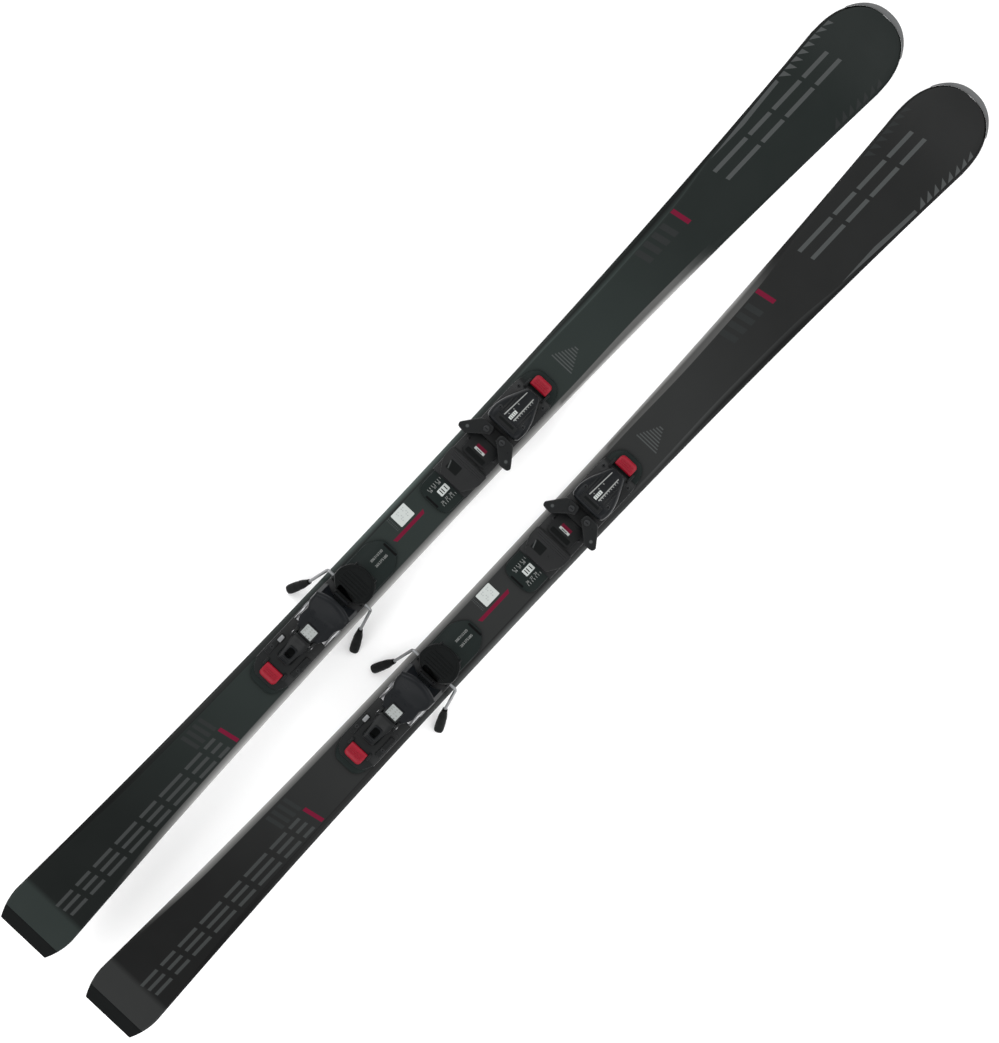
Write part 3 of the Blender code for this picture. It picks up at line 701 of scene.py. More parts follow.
def screw(name, ski, at, radius, body):
    """A countersunk screw head, with its cross recess drawn as a flat dark cross of painted shade."""
    x, y, z = at
    piece(name, ski, *slab(circle(radius, (x, y), 20), z - 0.8, z + 0.25, 0.3, 0), "bolt", body)
    arm, half = radius * 0.62, radius * 0.16
    cross = [rect(x - arm, x + arm, y - half, y + half), rect(x - half, x + half, y - arm, y + arm)]
    flat(name + "_cross", ski, cross, z + 0.3, "dark", body)


def channel(table):
    """A slider that grips the T-shaped track, through (y, top, half width) rows."""
    rings = []
    for y, top, half in table:
        right = [(26.8, y, 23.6), (26.8, y, 20.0), (22.2, y, 20.0), (22.2, y, 18.9)]
        right += [(half - 0.5, y, 18.9), (half, y, 19.4)]
        right += [(half, y, top - 1.5), (half - 0.35, y, top - 0.6), (half - 1.5, y, top)]
        rings.append(mirrored(right))
    return loft(rings)


def rail(outline):
    """A T-shaped track over a plan outline."""
    levels = [(18.25, 5), (20.3, 5), (20.3, 0.2), (20.5, 0), (21.7, 0), (22.7, 0.5), (23.3, 1.7)]
    return stack(outline, levels)


# Toe piece

HOOD = [  # Y, half width and height of its top
    (926.6, 22, 65.5),
    (928, 25, 67.5),
    (932, 27.2, 68.8),
    (945, 28, 67.8),
    (960, 24.5, 62),
    (975, 18, 54),
    (986, 13, 48.8),
    (989.6, 11.4, 46.4),
    (990.2, 10.4, 45),
]


def hood_height(y):
    table = rows(HOOD)
    for a, b in zip(table, table[1:]):
        if a[0] <= y <= b[0]:
            return a[2] + (b[2] - a[2]) * (y - a[0]) / (b[0] - a[0]) + 0.4
    return table[-1][2]


def build_tracks(ski):
    toe = fillet(both([(11, 790), (22, 793), (26.5, 801), (26.5, 1000), (23.5, 1010), (17, 1017.5), (10, 1020)]), 5)
    piece("toe_rail", ski, *rail(toe), "track", "ski", ("toe_track",))
    heel = fillet(both([(14, 458), (21, 463), (25.5, 473), (26.5, 484), (26.5, 691), (20.5, 703), (11, 713)]), 5)
    piece("heel_rail", ski, *rail(heel), "track", "ski", ("heel_track",))
    print_z, figure_z, pitch = TRACK_TOP + 0.06, TRACK_TOP + 0.04, 7.6
    # Dark patches at the rails' ends are painted shade in the slots there.
    flat("toe_rail_slot", ski, [fillet(rect(-11, 11, 791.6, 794.4), 1.2)], print_z, "dark", "ski")
    flat("heel_rail_slot", ski, [fillet(rect(-9, 14, 707.2, 710.4), 1.2)], print_z, "dark", "ski")
    flat("toe_rail_label", ski, [fillet(rect(-5, 5, 807, 823), 1)], print_z, "white", "ski")
    marks = [rect(-3.4, 3.4, y, y + 1.4) for y in (810, 813.4, 818.4)]
    flat("toe_rail_label_marks", ski, marks, TRACK_TOP + 0.1, "dark", "ski")
    for side, word in SIDES:
        for i, number in enumerate(("26", "27", "28")):
            place = (side * 10.5, 802.5 + pitch * i, figure_z)
            figures(f"toe_scale_{word}_{number}", ski, number, place, 4.6, "pale", "ski")
        ticks = [rect(side * 14.4 - 1.6, side * 14.4 + 1.6, 800 + 3.8 * i, 800.6 + 3.8 * i) for i in range(7)]
        flat(f"toe_scale_ticks_{word}", ski, ticks, print_z, "pale", "ski")
    for i, (longer, shorter) in enumerate((("300", "265"), ("310", "275"), ("320", "285"))):
        y = 682.5 + pitch * i
        figures(f"heel_scale_a_{i}", ski, longer, (-4.4, y, figure_z), 4.8, "pale", "ski")
        figures(f"heel_scale_b_{i}", ski, shorter, (4.8, y, figure_z), 4.8, "pale", "ski")
    for side, word in SIDES:
        screw(f"heel_rail_screw_rear_{word[0]}", ski, (side * 19, 479, TRACK_TOP), 2.9, "ski")


def build_toe(ski):
    body = "toe"
    rear = [(826, 26.6, 29.1), (827, 27.6, 29.5), (868, 28, 29.5), (905, 28, 29.5)]
    front = [(975, 28, 29.5), (988, 27.6, 28.9), (992.5, 26.4, 27.6), (994, 25.4, 27.2)]
    sole = channel(rear + front)
    block_plan = fillet(both([(17, 829.4), (28, 845), (29.3, 852), (29.3, 867.4)]), 2.2)
    block = slab(block_plan, 26.5, 33.5, 0.6, 0)
    ribs = side_ribs((872, 877, 882, 960, 965, 970, 975, 980), 20.5, 27.0)
    lugs = pair(14.5, 18, 988, 1002.4, 23.9, 32.2, 1.4, 1.0)
    step = slab(fillet(both([(16, 869.5), (21, 873), (21, 899), (16.5, 903)]), 1.5), 27.5, 30, 0.6, 0)
    collar = slab(fillet(rect(-24, 24, 903.5, 922), 4), 27.5, 29.7, 0.5, 0)
    base = joined(sole, block, step, collar, *ribs, *lugs)
    piece("toe_base", ski, *base, "black", body, ("toe_carriage",))
    for name, shape, z, look in (
        ("toe_indicator_white", rect(-8.6, 8, 883.4, 887), 30.08, "white"),
        ("toe_indicator_red", rect(-8.6, 8, 887, 892), 30.08, "red_print"),
        ("toe_indicator_bar", rect(-5, 4, 884.4, 885.5), 30.12, "dark"),
        # A flat dark patch of painted shade in the step's recess.
        ("toe_step_recess", fillet(rect(-16, 16, 873, 880), 2), 30.08, "matt"),
    ):
        flat(name, ski, [shape], z, look, body)
    for side, word in SIDES:
        x, y = side * WING_PIN[0], WING_PIN[1]
        shank = slab(circle(2.75, (x, y), 20), 28, 66.8, 0.3, 0)
        head = slab(circle(4.3, (x, y), 24), 66.5, 68.2, 0.6, 0)
        piece(f"wing_pin_{word}", ski, *joined(shank, head), "bolt", body)
        # A flat dark bar of painted shade stands for the slot in the pin's head.
        flat(f"wing_pin_slot_{word}", ski, [rect(x - 2.6, x + 2.6, y - 0.5, y + 0.5)], 68.26, "dark", body)
        screw(f"toe_base_screw_{word}", ski, (side * 21.5, 889, 28.0), 3.4, body)
        screw(f"toe_front_screw_{word}", ski, (side * 22, 984, 27.8), 3.0, body)

    cover = piece("toe_hood", ski, *hood(rows(HOOD), 7.0, 28.3), "satin", body, ("toe_housing",), 38)
    cut(cover, ski, lengthwise(prism(circle(4.85, (0, TOE_SCREW_HIGH), 24), 981, 996)))
    section = ((5.0, 989.5), (5.0, 991.2), (6.4, 991.2), (6.9, 990.4), (6.9, 989.5))
    rim = []
    for turn in range(28):
        a = 2 * pi * turn / 28
        rim.append([(cos(a) * r, y, TOE_SCREW_HIGH + sin(a) * r) for r, y in section])
    piece("toe_hood_rim", ski, *hoop(rim), "black", body)
    fins = []
    for s in (-1, 1):
        for x, start, end, lower in ((12.5, 944, 979, 0), (16.5, 942, 968, 0.25)):
            run = range(start, end + 1, 5)
            foot = [(y, hood_height(y) - 1.0) for y in run]
            upper = [(y, hood_height(y) + (1.1 if start < y < end else 0.2) - lower) for y in run]
            fins.append(across(slab(foot + upper[::-1], s * x - 0.9, s * x + 0.9, 0.2, 0)))
    ridge = [(y, hood_height(y) - 1) for y in range(931, 943, 2)]
    ridge += [(y, hood_height(y) + 1.6) for y in range(941, 930, -2)]
    fins.append(across(slab(fillet(ridge, 0.8), -17, 17, 0.6, 0)))
    piece("toe_hood_fins", ski, *joined(*fins), "black", body)
    teeth = [[(6.2, y), (8.2, y + 0.4), (8.2, y + 1.2), (6.2, y + 1.2)] for y in range(947, 980, 4)]
    for name, shapes, look, lift in (
        # A dark strip of painted shade in the hollow across the hood.
        ("toe_hollow", [fillet(rect(-12.5, 12.5, 934.5, 938.5), 1)], "matt", 1.75),
        ("toe_scale_block", [rect(-3, 2, 943.5, 957)], "white", 0.25),
        ("toe_scale_marks", [rect(-2.4, 1.4, y, y + 0.8) for y in (945.6, 948.4, 951.2, 954)], "dark", 0.3),
        ("toe_rule_left", [[(-10.4, 943), (-8.8, 943), (-6.6, 985), (-7.8, 985)]], "pale", 0.25),
        ("toe_rule_right", [[(4.4, 945), (6.2, 945), (5.8, 984), (4.4, 984)]], "pale", 0.25),
        ("toe_rule_teeth", teeth, "pale", 0.27),
    ):
        drape(name, ski, shapes, look, lift, hood_height, body)
    for i, number in enumerate(("4", "6", "8")):
        y = 948 + 9 * i
        place = (-5.6 + 0.3 * i, y, hood_height(y) + 0.75 - 0.1 * i)
        figures(f"toe_figure_{number}", ski, number, place, 3.6, "pale", body)
    for side, word in SIDES:
        screw(f"toe_hood_screw_{word[0]}", ski, (side * 20.3, 947, 67.3), 2.9, body)

    plug = lengthwise(slab(circle(4.5, (0, TOE_SCREW_HIGH), 24), 983, 990.4, 0.5, 0.3))
    piece("toe_adjuster", ski, *plug, "steel", "toe_screw", ("toe_setting_screw",))
    # A flat dark bar of painted shade stands for the screw's slot.
    slot = [(x, 990.46, TOE_SCREW_HIGH + z) for x, z in rect(-3.6, 3.6, -0.6, 0.6)]
    piece("toe_adjuster_slot", ski, slot, [(3, 2, 1, 0)], "dark", "toe_screw", recalc=False)

    pad_plan = fillet(both([(19, 828.4), (29, 844.5), (30.8, 852), (30.8, 865.8)]), 2)
    ribs = [slab(fillet(rect(-26, 26, y, y + 1.5), 0.7), 36.6, 37.5, 0.35, 0) for y in (855.2, 858.4, 861.6)]
    pad = joined(slab(pad_plan, 33.85, 37.0, 0.9), *ribs)
    piece("sliding_plate", ski, *pad, "pad", "toe_plate", ("afd_plate",))
    # A flat dark patch of painted shade in the plate's shallow recess.
    recess = fillet(rect(-19.5, -1, 839, 852.8), 1.5)
    flat("sliding_plate_recess", ski, [recess], 37.06, "matt", "toe_plate")
    mark = [(-16.4, 840), (-14.6, 840), (-18.4, 850.5), (-20.2, 850.5)]
    flat("sliding_plate_mark", ski, [mark], 37.1, "mid_print", "toe_plate")

    for side, word in SIDES:
        build_wing(ski, side, word)

    lock_top = [(996.2, 29), (997.2, 31.2), (999.4, 32), (1005, 32), (1011, 30.6), (1013.8, 28.2)]
    lock_under = [(1013, 25.6), (1009.6, 25), (1001, 26.2), (998, 26.2), (996.6, 27.4)]
    thumb_rest = thumb(fillet(lock_top + lock_under, 1.0), 999)
    lever = joined(thumb_rest, *ridges((1001.5, 1004.2, 1006.9), 30.2, 0.2))
    piece("toe_lock_lever", ski, *lever, "red", "toe_lever", ("toe_lock",))


def build_wing(ski, side, word):
    """A toe wing: a tall wall under an overhanging lip, with stiffening ribs on its outer side."""
    wall_outer = [(40.6, 891), (44.6, 892), (45.4, 895), (28, 919.6), (22, 921.7), (8.4, 921.7)]
    wall_inner = [(5.4, 916), (5.4, 911.4), (12, 911.4), (22, 909), (31, 903), (38, 894.6)]
    lip_outer = [(31, 889.2), (38, 889.4), (44.5, 890.4), (46.6, 895.6), (28.4, 919.8), (22, 921.9)]
    lip_inner = [(8, 921.9), (5.2, 916.5), (5.2, 909.6), (10, 907.2)]
    shapes = [
        slab(fillet(wall_outer + wall_inner, 1.4), 30.3, 60, 0.4, 0.5),
        pillow(fillet(lip_outer + lip_inner, 2.4), 57.4, 66, 1.5),
    ]
    start, end = Vector((43.6, 897)), Vector((29.5, 917))
    out = Vector(((end - start).y, -(end - start).x)).normalized() * -1
    run = (end - start).normalized() * 0.9
    for k in (0.12, 0.34, 0.56, 0.78):
        base = start + (end - start) * k
        inner, outer = base - out * 0.6, base + out * 0.9
        rib = [tuple(inner - run), tuple(inner + run), tuple(outer + run), tuple(outer - run)]
        shapes.append(slab(rib, 32, 57.6, 0.4, 0))
    body = f"toe_wing_{word}"
    wing = piece(body, ski, *sided(joined(*shapes), side), "black", body, (f"wing_{word}",))
    cut(wing, ski, sided(prism(circle(3.1, WING_PIN, 20), 20, 80), side))
    points, faces = sided(([(x, y, 66.06) for x, y in circle(2.3, (35, 898.5), 20)], [tuple(range(20))]), side)
    faces = faces if side > 0 else [tuple(reversed(face)) for face in faces]
    piece(f"wing_dot_{word}", ski, points, faces, "mid_print", body, recalc=False)


# Heel piece


def lip(x):
    return 50.3 - (x / 30) ** 2 * 8.5


def cup(x):
    return min(70 - sqrt(36**2 - min(abs(x), 30) ** 2), lip(x) - 1)


def side_at(line, y):
    """The x of a line of (x, y) at a y."""
    for (x0, y0), (x1, y1) in zip(line, line[1:]):
        if y <= y1:
            return x0 + (x1 - x0) * max(0, y - y0) / max(1e-6, y1 - y0)
    return line[-1][0]


JAW_SIDE = [(16.8, -22), (18.6, -14), (22.6, -7), (25, -1), (25.2, 8)]
JAW_FLARE = [(25.2, 16), (26.4, 20), (28.8, 24), (30, 28), (30, 34)]
JAW_CUP = [(-0.9, -9.5), (2, -11), (7.6, -14), (9.2, -19), (10.4, -20), (18, -20.6), (24, -21), (27, -20.4)]


def jaw_corner(rear):
    """Where the jaw's rear edge meets its side."""
    side = JAW_SIDE + JAW_FLARE
    for (x0, y0), (x1, y1) in zip(side, side[1:]):
        over0, over1 = (y - rear - (x - 15) * 0.35 for x, y in ((x0, y0), (x1, y1)))
        if over1 > 0:
            share = max(0, -over0 / (over1 - over0))
            return x0 + share * (x1 - x0), y0 + share * (y1 - y0)


def jaw_ring(z, rear, wide, front):
    """The jaw's outline at a height, closed jaw, relative to its axle. Its corner has the same place in every ring."""
    corner = jaw_corner(rear)
    line = [corner] + [place for place in JAW_SIDE + JAW_FLARE if place[1] > corner[1]]
    flare = [max(place, corner, key=lambda p: p[1]) for place in JAW_FLARE]
    right = [(0, rear), (7, rear), (12, rear + 0.5), (15.4, rear + 2.4)]
    for share in (0, 0.5):
        right.append((16.8 + share * (corner[0] - 16.8), rear + 0.63 + share * (corner[1] - rear - 0.63)))
    for k in range(6):
        y = corner[1] + k / 6 * (flare[0][1] - corner[1])
        right.append((side_at(line, y), y))
    right = [(x * wide, y, z) for x, y in right + flare]
    for x in (30, 28, 25, 21, 16.5, 11.2, 10.9, 5.5, 0):
        right.append((x * wide, max(front(x * wide), right[-1][1] if x > 29 else 0), z))
    left = [(-x, y, z) for x, y, z in reversed(right[1:-1])]
    return right[1:-1] + [(0, right[-1][1], z)] + left + [(0, right[0][1], z)]


def build_jaw(ski):
    def tread(x):
        return 41.8 if abs(x) < 11 else cup(x)

    levels = [  # height, rear edge, share of the full width, front edge
        (-6.2, -6.4, 0.94, lambda x: 30),
        (-5.4, -7.4, 0.97, lambda x: min(cup(x), 36)),
        (-3.9, -8.6, 1.0, lambda x: min(tread(x), 41.2)),
        (-3.2, -8.9, 1.0, tread),
        (-1.8, -9.1, 1.0, tread),
        (-1.1, -9.3, 1.0, lambda x: min(tread(x), 41.2)),
        *((z, rear, 1.0, cup) for z, rear in JAW_CUP),
        (29.3, -18.2, 1.0, cup),
        (29.6, -17.6, 1.0, lambda x: lip(x) - 1.0),
        (30.4, -15, 1.0, lip),
        (32.0, -9.5, 0.995, lambda x: lip(x) + 0.1),
        (33.8, -3.2, 0.985, lambda x: lip(x) - 0.4),
        (35.6, 4.5, 0.965, lambda x: lip(x) - 1.4),
        (37.0, 10.5, 0.93, lambda x: lip(x) - 3.0),
        (37.9, 15.5, 0.87, lambda x: lip(x) - 5.4),
        (38.3, 19.5, 0.80, lambda x: lip(x) - 8.0),
    ]
    shape = loft([jaw_ring(z, rear, wide, front) for z, rear, wide, front in levels])
    lugs = []
    profile = [(-17, 16), (-17, 29.0), (-27, 30.6), (-34.5, 29.2), (-37, 24), (-34.5, 19), (-28, 17.4)]
    for s in (-1, 1):
        lugs.append(across(slab(fillet(profile, 2.5), *sorted((s * 13.7, s * 16.9)), 0.4, 0.4)))
    visor = slab(fillet([(-11.5, -23.2), (11.5, -23.2), (12.6, -12), (-12.6, -12)], 1.5), 27.6, 30.4, 0.6, 0.3)
    jaw = piece("jaw", ski, *shape, "satin", "jaw", ("heel_jaw",), 40, JAW)
    cut(jaw, ski, lengthwise(prism(circle(8.1, (0, JAW_SCREW_HIGH), 32), -30, -6)), JAW)
    piece("jaw_lugs", ski, *joined(*lugs, visor), "black", "jaw", axis=JAW)
    # A sloping window over the spring shows how far it is wound.
    rear_rise = atan2(34.4 - 30.6, 14.5)
    window = JAW @ (Matrix.Translation(Vector((0, -15.6, 30.9)) * MM) @ Matrix.Rotation(rear_rise, 4, "X"))
    frame_plan = fillet(rect(-10.6, 10.6, -7.8, 17.4), 2.2)
    piece("window_frame", ski, *slab(frame_plan, -2.2, 0.7, 0.5, 0), "black", "jaw", axis=window)
    label = fillet(rect(-9, 9, -6.6, 15.6), 1.6)
    flat("window_label", ski, [label], 0.76, "label_grey", "jaw", window)
    grid = [(x, y) for x in (-5.2, 0.6, 5.2) for y in (2.2, 6.6, 11.0) if x + y != 11.8]
    marks = [fillet(rect(x - 1.2, x + 1.2, y, y + 2.2), 0.6) for x, y in grid]
    flat("window_marks", ski, marks, 0.8, "pale", "jaw", window)
    ticks = [rect(-8, -6.2, -4.5 + 3 * i, -4.0 + 3 * i) for i in range(6)]
    flat("window_ticks", ski, ticks, 0.82, "mid_print", "jaw", window)
    for i, number in enumerate(("4", "6", "8")):
        place = (-5 + 5 * i, -3.2, 0.8)
        figures(f"window_figure_{number}", ski, number, place, 3.4, "dark", "jaw", window, 0)
    plans = [fillet(rect(-9.4, 9.4, 35.2 + 2.2 * k, 36.4 + 2.2 * k), 0.5) for k in range(3)]
    grips = [slab(plan, -1.4, -0.3, 0.35, 0) for plan in plans]
    piece("jaw_grips", ski, *joined(*grips), "black", "jaw", axis=JAW)
    pin = across(pillow(circle(2.4, LEVER_PIN, 20), -17.4, 17.4, 0.5))
    piece("jaw_pin", ski, *pin, "steel", "jaw", ("lever_pin",), axis=JAW)

    plug = lengthwise(slab(circle(7.6, (0, JAW_SCREW_HIGH), 32), -1, 8, 0.7, 0.4))
    plug = ([(x, -8 - y, z) for x, y, z in plug[0]], plug[1])
    piece("heel_adjuster", ski, *plug, "steel", "jaw_screw", ("heel_setting_screw",), axis=JAW)
    # A flat dark bar of painted shade stands for the screw's slot.
    slot = [(x, -16.08, JAW_SCREW_HIGH + z) for x, z in rect(-5.6, 5.6, -0.9, 0.9)]
    piece("heel_adjuster_slot", ski, slot, [(0, 1, 2, 3)], "dark", "jaw_screw", axis=JAW, recalc=False)


def build_lever(ski):
    table = [  # Y, half width, height of its underside and of its top
        (-72.0, 6.0, 28.6, 30.6),
        (-71.2, 8.0, 27.6, 31.6),
        (-67, 9.3, 26.9, 32.6),
        (-60, 9.9, 25.6, 32.2),
        (-50, 11.0, 23.6, 31.2),
        (-42, 12.4, 20.8, 30.4),
        (-36, 13.2, 18.4, 29.9),
        (-30, 13.25, 18.0, 29.9),
        (-26, 13.2, 19.8, 28.2),
        (-24.2, 12.8, 22.2, 25.8),
    ]
    rings = []
    for y, half, low, high in rows(table, 4):
        turn = min(1.6, (high - low) * 0.4)
        right = [(half - turn, y, low), (half - turn * 0.3, y, low + turn * 0.3), (half, y, low + turn)]
        right += [(half, y, high - turn), (half - turn * 0.3, y, high - turn * 0.3), (half - turn, y, high)]
        right.append(((half - turn) * 0.5, y, high - 0.25))
        rings.append(mirrored(right))
    lever = piece("release_lever", ski, *loft(rings), "black", "release_lever", ("heel_lever",), 38, JAW)
    cut(lever, ski, prism(fillet(rect(-5.4, 5.4, -61, -45), 3.5), 10, 50), JAW)
    cut(lever, ski, across(prism(circle(2.7, LEVER_PIN, 20), -30, 30)), JAW)
    plans = [fillet(rect(-6.5, 6.5, -69.4 + 2.4 * i, -68.3 + 2.4 * i), 0.5) for i in range(3)]
    grips = [slab(plan, 31.8, 33.1, 0.3, 0) for plan in plans]
    piece("release_lever_grips", ski, *joined(*grips), "satin", "release_lever", axis=JAW)
    outer = fillet(rect(-7.0, 7.0, -62.6, -43.4), 4.2)
    inner = fillet(rect(-5.5, 5.5, -61.1, -44.9), 3.5)
    points = [(x, y, 32.0 + 0.02 * (-50 - y)) for x, y in outer]
    points += [(x, y, 32.5 + 0.02 * (-50 - y)) for x, y in inner]
    count = len(outer)
    faces = [(i, (i + 1) % count, count + (i + 1) % count, count + i) for i in range(count)]
    piece("release_lever_rim", ski, points, faces, "satin", "release_lever", axis=JAW)


def build_heel(ski):
    body = "heel"
    rear = [(484, 25.6, 29.2), (488, 26.2, 29.5), (495, 26.6, 29.5), (503, 28, 29.5), (560, 28, 29.5)]
    front = [(612, 28, 29.5), (613.5, 26.4, 29.5), (640, 26.4, 29.5), (648, 26.2, 29.2)]
    tongue = fillet(both([(28.6, 645), (28.6, 649), (22.5, 661), (10, 667.6)]), 3)
    heel_end = fillet(both([(15, 466.4), (22, 471), (26.5, 479), (28.6, 487), (28.6, 490)]), 3)
    base = joined(
        channel(rear + front),
        slab(tongue, 23.7, 26.2, 0.8, 0.2),
        slab(heel_end, 23.7, 25.8, 0.8, 0.2),
        slab(fillet(rect(-24, 24, 600.5, 611.5), 2), 27.5, 29.6, 0.8, 0),
        *pair(14.5, 18, 483.6, 494, 24.5, 32, 1.4, 1.0),
        *pair(19.5, 27.4, 497, 530, 27.2, 30.4, 1.5, 0.9),
        *pair(22.6, 28.6, 627, 639, 25.8, 33, 1.5, 1.6),
        *pair(15.4, 18.4, 656.5, 667, 25.8, 32.6, 1.0, 1.2),
        *side_ribs(range(506, 552, 5), 20.5, 26.4),
    )
    piece("heel_base", ski, *base, "black", body, ("heel_carriage",))
    piece("pedal_pin", ski, *across(pillow(circle(1.5, PEDAL_PIN, 14), -17.6, 17.6, 0.3)), "steel", body)
    # A flat dark patch of painted shade in the recess under the release lever.
    flat("heel_base_recess", ski, [fillet(rect(-12, 12, 505, 548), 3)], 28.08, "matt", body)
    ticks = [rect(-11, -7.5 + (2 if i % 3 == 0 else 0), 508 + 3 * i, 508.6 + 3 * i) for i in range(13)]
    flat("heel_base_scale", ski, ticks, 28.14, "mid_print", body)
    # A small steel patch on the carriage's left side is a painted highlight for a glint on the plastic edge there.
    glint = slab(fillet(rect(-24.6, -18.8, 519, 529), 1.2), 29.9, 31.6, 0.7, 0)
    piece("heel_base_clip", ski, *glint, "wire", body)
    for side, word in SIDES:
        screw(f"heel_base_screw_{word[0]}", ski, (side * 23.5, 508, 30.4), 2.6, body)
        screw(f"brake_plate_screw_{word[0]}", ski, (side * 11, 619.5, 26.4), 2.8, body)
    # Thin light strips along the tongue's slanting edges are painted highlights.
    for i, side in enumerate((-1, 1)):
        edge_highlight = [(side * 24.5, 652.5), (side * 26.2, 649.5), (side * 21.4, 658.6), (side * 20.4, 658.4)]
        flat(f"heel_tongue_edge_{i}", ski, [edge_highlight], 26.26, "mid_print", body)

    profile = [(556, 28.4), (556, 34), (563.5, 47), (571, 54.4), (580, 56.6), (589, 54.4), (595, 47), (596.5, 28.4)]
    sides = [across(slab(fillet(profile, 4), *sorted((s * 25.6, s * 28.0)), 0.4, 0.4)) for s in (-1, 1)]
    saddle = slab(rect(-27.4, 27.4, 557, 595.5), 28.35, 30.2, 0.3, 0)
    piece("bracket", ski, *joined(*sides, saddle), "steel", body, ("heel_bracket",))
    shaft = across(pillow(circle(3.9, JAW_AXLE, 28), -28.9, 28.9, 0.5))
    heads = [across(pillow(circle(5.6, JAW_AXLE, 28), *sorted((s * 28.1, s * 29.6)), 0.5)) for s in (-1, 1)]
    piece("axle", ski, *joined(shaft, *heads), "wire", body, ("heel_axle",))

    lock_top = [(490.4, 29), (489.6, 31), (487.4, 31.9), (482, 32), (476, 31.6), (472, 30.2), (470.2, 28.4)]
    lock_under = [(471, 26.7), (479, 26.5), (487.4, 26.5), (489.8, 27.4)]
    thumb_rest = thumb(fillet(lock_top + lock_under, 1.0), 488)
    lever = joined(thumb_rest, *ridges((482.4, 479.6, 476.8), 30, 0.1))
    piece("heel_lock_lever", ski, *lever, "red", "heel_lock_lever", ("heel_lock",))


# Brake


def tube(path, radius, sides=14):
    """A round wire along a path of points."""
    path = [Vector(p) for p in path]
    rings = []
    normal = Vector((0, 0, 1))
    for i, point in enumerate(path):
        along = (path[min(i + 1, len(path) - 1)] - path[max(i - 1, 0)]).normalized()
        normal = (normal - along * normal.dot(along)).normalized()
        other = along.cross(normal)
        turns = [2 * pi * k / sides for k in range(sides)]
        rings.append([tuple(point + normal * radius * cos(a) + other * radius * sin(a)) for a in turns])
    return loft(rings)


def bend(path, radius, steps=7):
    """The path with its corners rounded."""
    path = [Vector(p) for p in path]
    smooth = [path[0]]
    for before, corner, after in zip(path, path[1:], path[2:]):
        start = corner + (before - corner).normalized() * radius
        end = corner + (after - corner).normalized() * radius
        for i in range(steps + 1):
            t = i / steps
            smooth.append(start * (1 - t) ** 2 + corner * 2 * t * (1 - t) + end * t**2)
    return smooth + [path[-1]]


def foot(side):
    """A brake foot, moulded round the end of the wire, with shallow grooves."""
    along = (FOOT_END - FOOT_START).normalized()
    wide_way = along.cross(Vector((0, 0, 1))).normalized()
    deep_way = along.cross(wide_way)
    table = [(-1, 3.0, 3.2), (1, 3.6, 3.8), (6, 4.2, 4.2), (14, 5.6, 4.8), (24, 6.4, 5.2)]
    table += [(38, 6.7, 5.3), (46, 6.5, 5.0), (50, 5.6, 4.0), (51.5, 3.6, 2.6)]
    rings = []
    for reach, wide, deep in rows(table, 3):
        centre = FOOT_START + along * reach
        groove = 0.94 if 16 < reach < 40 and int(reach) % 6 < 2 else 1.0
        ring = []
        for i in range(20):
            a = 2 * pi * (i + 0.5) / 20
            across_by = wide * groove * copysign(abs(cos(a)) ** 0.8, cos(a))
            down_by = deep * groove * copysign(abs(sin(a)) ** 0.8, sin(a))
            point = centre + wide_way * across_by + deep_way * down_by
            ring.append((side * point.x, point.y, point.z))
        rings.append(ring)
    return loft(rings)


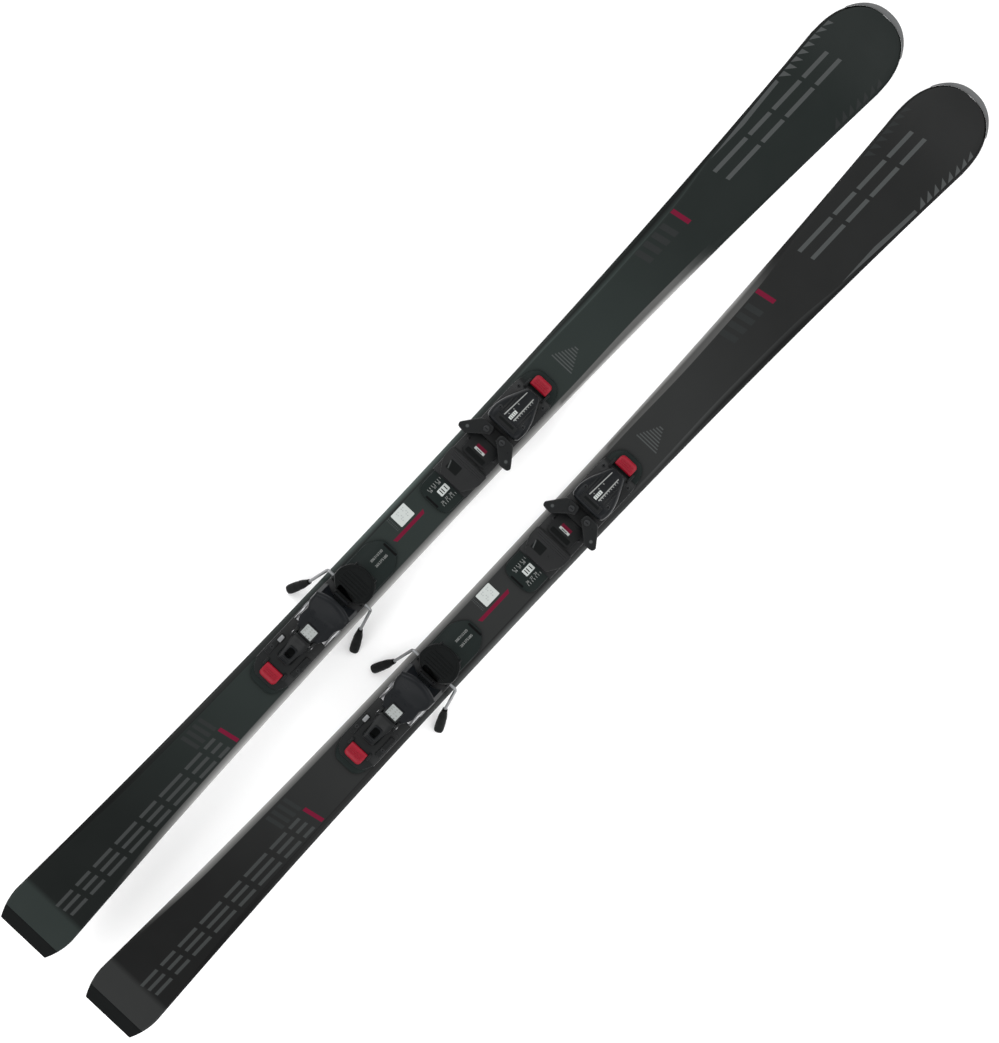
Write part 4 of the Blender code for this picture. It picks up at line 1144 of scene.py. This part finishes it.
def build_brake(ski):
    axle_y, axle_z, crank_turn = 633, 29, radians(60.8)
    crank = (axle_y + 8 * cos(crank_turn), axle_z + 8 * sin(crank_turn))
    end = FOOT_START + (FOOT_END - FOOT_START) * 0.5
    right = [(18, *crank), (18, axle_y, axle_z), (39, axle_y, axle_z), tuple(FOOT_START), tuple(end)]
    path = bend([(-x, y, z) for x, y, z in reversed(right)] + right, 4)
    piece("brake_rod", ski, *tube(path, 2.15), "wire", "brake", ("brake_wire",), 60)
    for side, word in SIDES:
        piece(f"foot_{word}", ski, *foot(side), "matt", "brake", (f"brake_foot_{word}",), 40)

    right = [(12.8, -37.6)] + [(x, -12 - sqrt(34**2 - x**2)) for x in (13, 15.5, 18, 20.5, 23, 25.5, 27.6)]
    turns = [radians(-8 + 98 * i / 16) for i in range(16)]
    outline = both(right + [(28.9 * cos(a), -25 + 28.9 * sin(a)) for a in turns])
    disc = pillow(fillet(outline, 1.2, 2), 2.7, 9.2, 1.2)
    barrel = across(prism(circle(3.1, (0, 0), 20), -14.4, 14.4))
    ribs = []
    for y, reach in ((-33, 19), (-28, 20), (-23, 21), (-18, 20.5), (-13, 18.5)):
        ribs.append(slab(fillet(rect(-reach, reach, y, y + 1.6), 0.8), 8.8, 10.0, 0.4, 0))
    piece("pedal", ski, *joined(disc, barrel, *ribs), "matt", "pedal", ("brake_pedal",), 38, PEDAL)
    section = ((24.2, 9.0), (24.8, 9.6), (26.2, 9.6), (26.6, 9.0))
    rim = []
    for i in range(40):
        a = 2 * pi * i / 40
        rim.append([(r * cos(a), -25 + max(r * sin(a), -11.5), z) for r, z in section])
    piece("pedal_ring", ski, *hoop(rim), "matt", "pedal", axis=PEDAL)


# Studio


def studio():
    bpy.ops.mesh.primitive_plane_add(size=80, location=(0, 0, 0))
    floor = bpy.context.object
    floor.name = "floor"
    material, _, shader = nodes_of("floor_paper")
    put(shader, {"Base Color": (0.96, 0.96, 0.96, 1), "Roughness": 0.9})
    put(shader, {"Emission Color": (1, 1, 1, 1), "Emission Strength": 0.07})
    floor.data.materials.append(material)

    world = bpy.data.worlds.new("studio")
    world.use_nodes = True
    put(world.node_tree.nodes["Background"], {"Color": (1, 1, 1, 1), "Strength": 1.0})
    bpy.context.scene.world = world
    for name, turn, rise, power in (
        ("key", 150, 50, 1.2),
        ("fill", -20, 46, 1.0),
        ("back", 60, 44, 0.8),
        ("front", -110, 46, 0.8),
    ):
        lamp = bpy.data.lights.new(name, "SUN")
        lamp.angle = radians(42)
        lamp.energy = power
        holder = bpy.data.objects.new(name, lamp)
        holder.rotation_euler = (radians(90 - rise), 0, radians(90 + turn))
        bpy.context.collection.objects.link(holder)
    bpy.context.scene.view_settings.view_transform = "Standard"

    lens, sensor, view_width = 500.0, 36, 1.3833  # a long lens, so that the view is nearly parallel
    ski_way = Vector((0, cos(TILT), -sin(TILT)))
    up = Vector((-0.685, 0, 0)) + 0.7286 * ski_way
    right = Vector((0.7286, 0, 0)) + 0.685 * ski_way
    away = right.cross(up)
    centre = SKI["left_"] @ (Vector((SPACING / 2, LENGTH / 2, DECK)) * MM)
    centre += right * 0.0009 - up * 0.0073
    camera = bpy.data.objects.new("camera", bpy.data.cameras.new("camera"))
    camera.data.lens = lens
    camera.data.clip_end = 200
    spin = Matrix((right, up, away)).transposed().to_4x4()
    camera.matrix_world = Matrix.Translation(centre + away * (view_width * lens / sensor)) @ spin
    bpy.context.collection.objects.link(camera)
    bpy.context.scene.camera = camera


for ski in SKI:
    build_ski(ski)
    build_prints(ski)
    build_tracks(ski)
    build_toe(ski)
    build_jaw(ski)
    build_lever(ski)
    build_heel(ski)
    build_brake(ski)
studio()
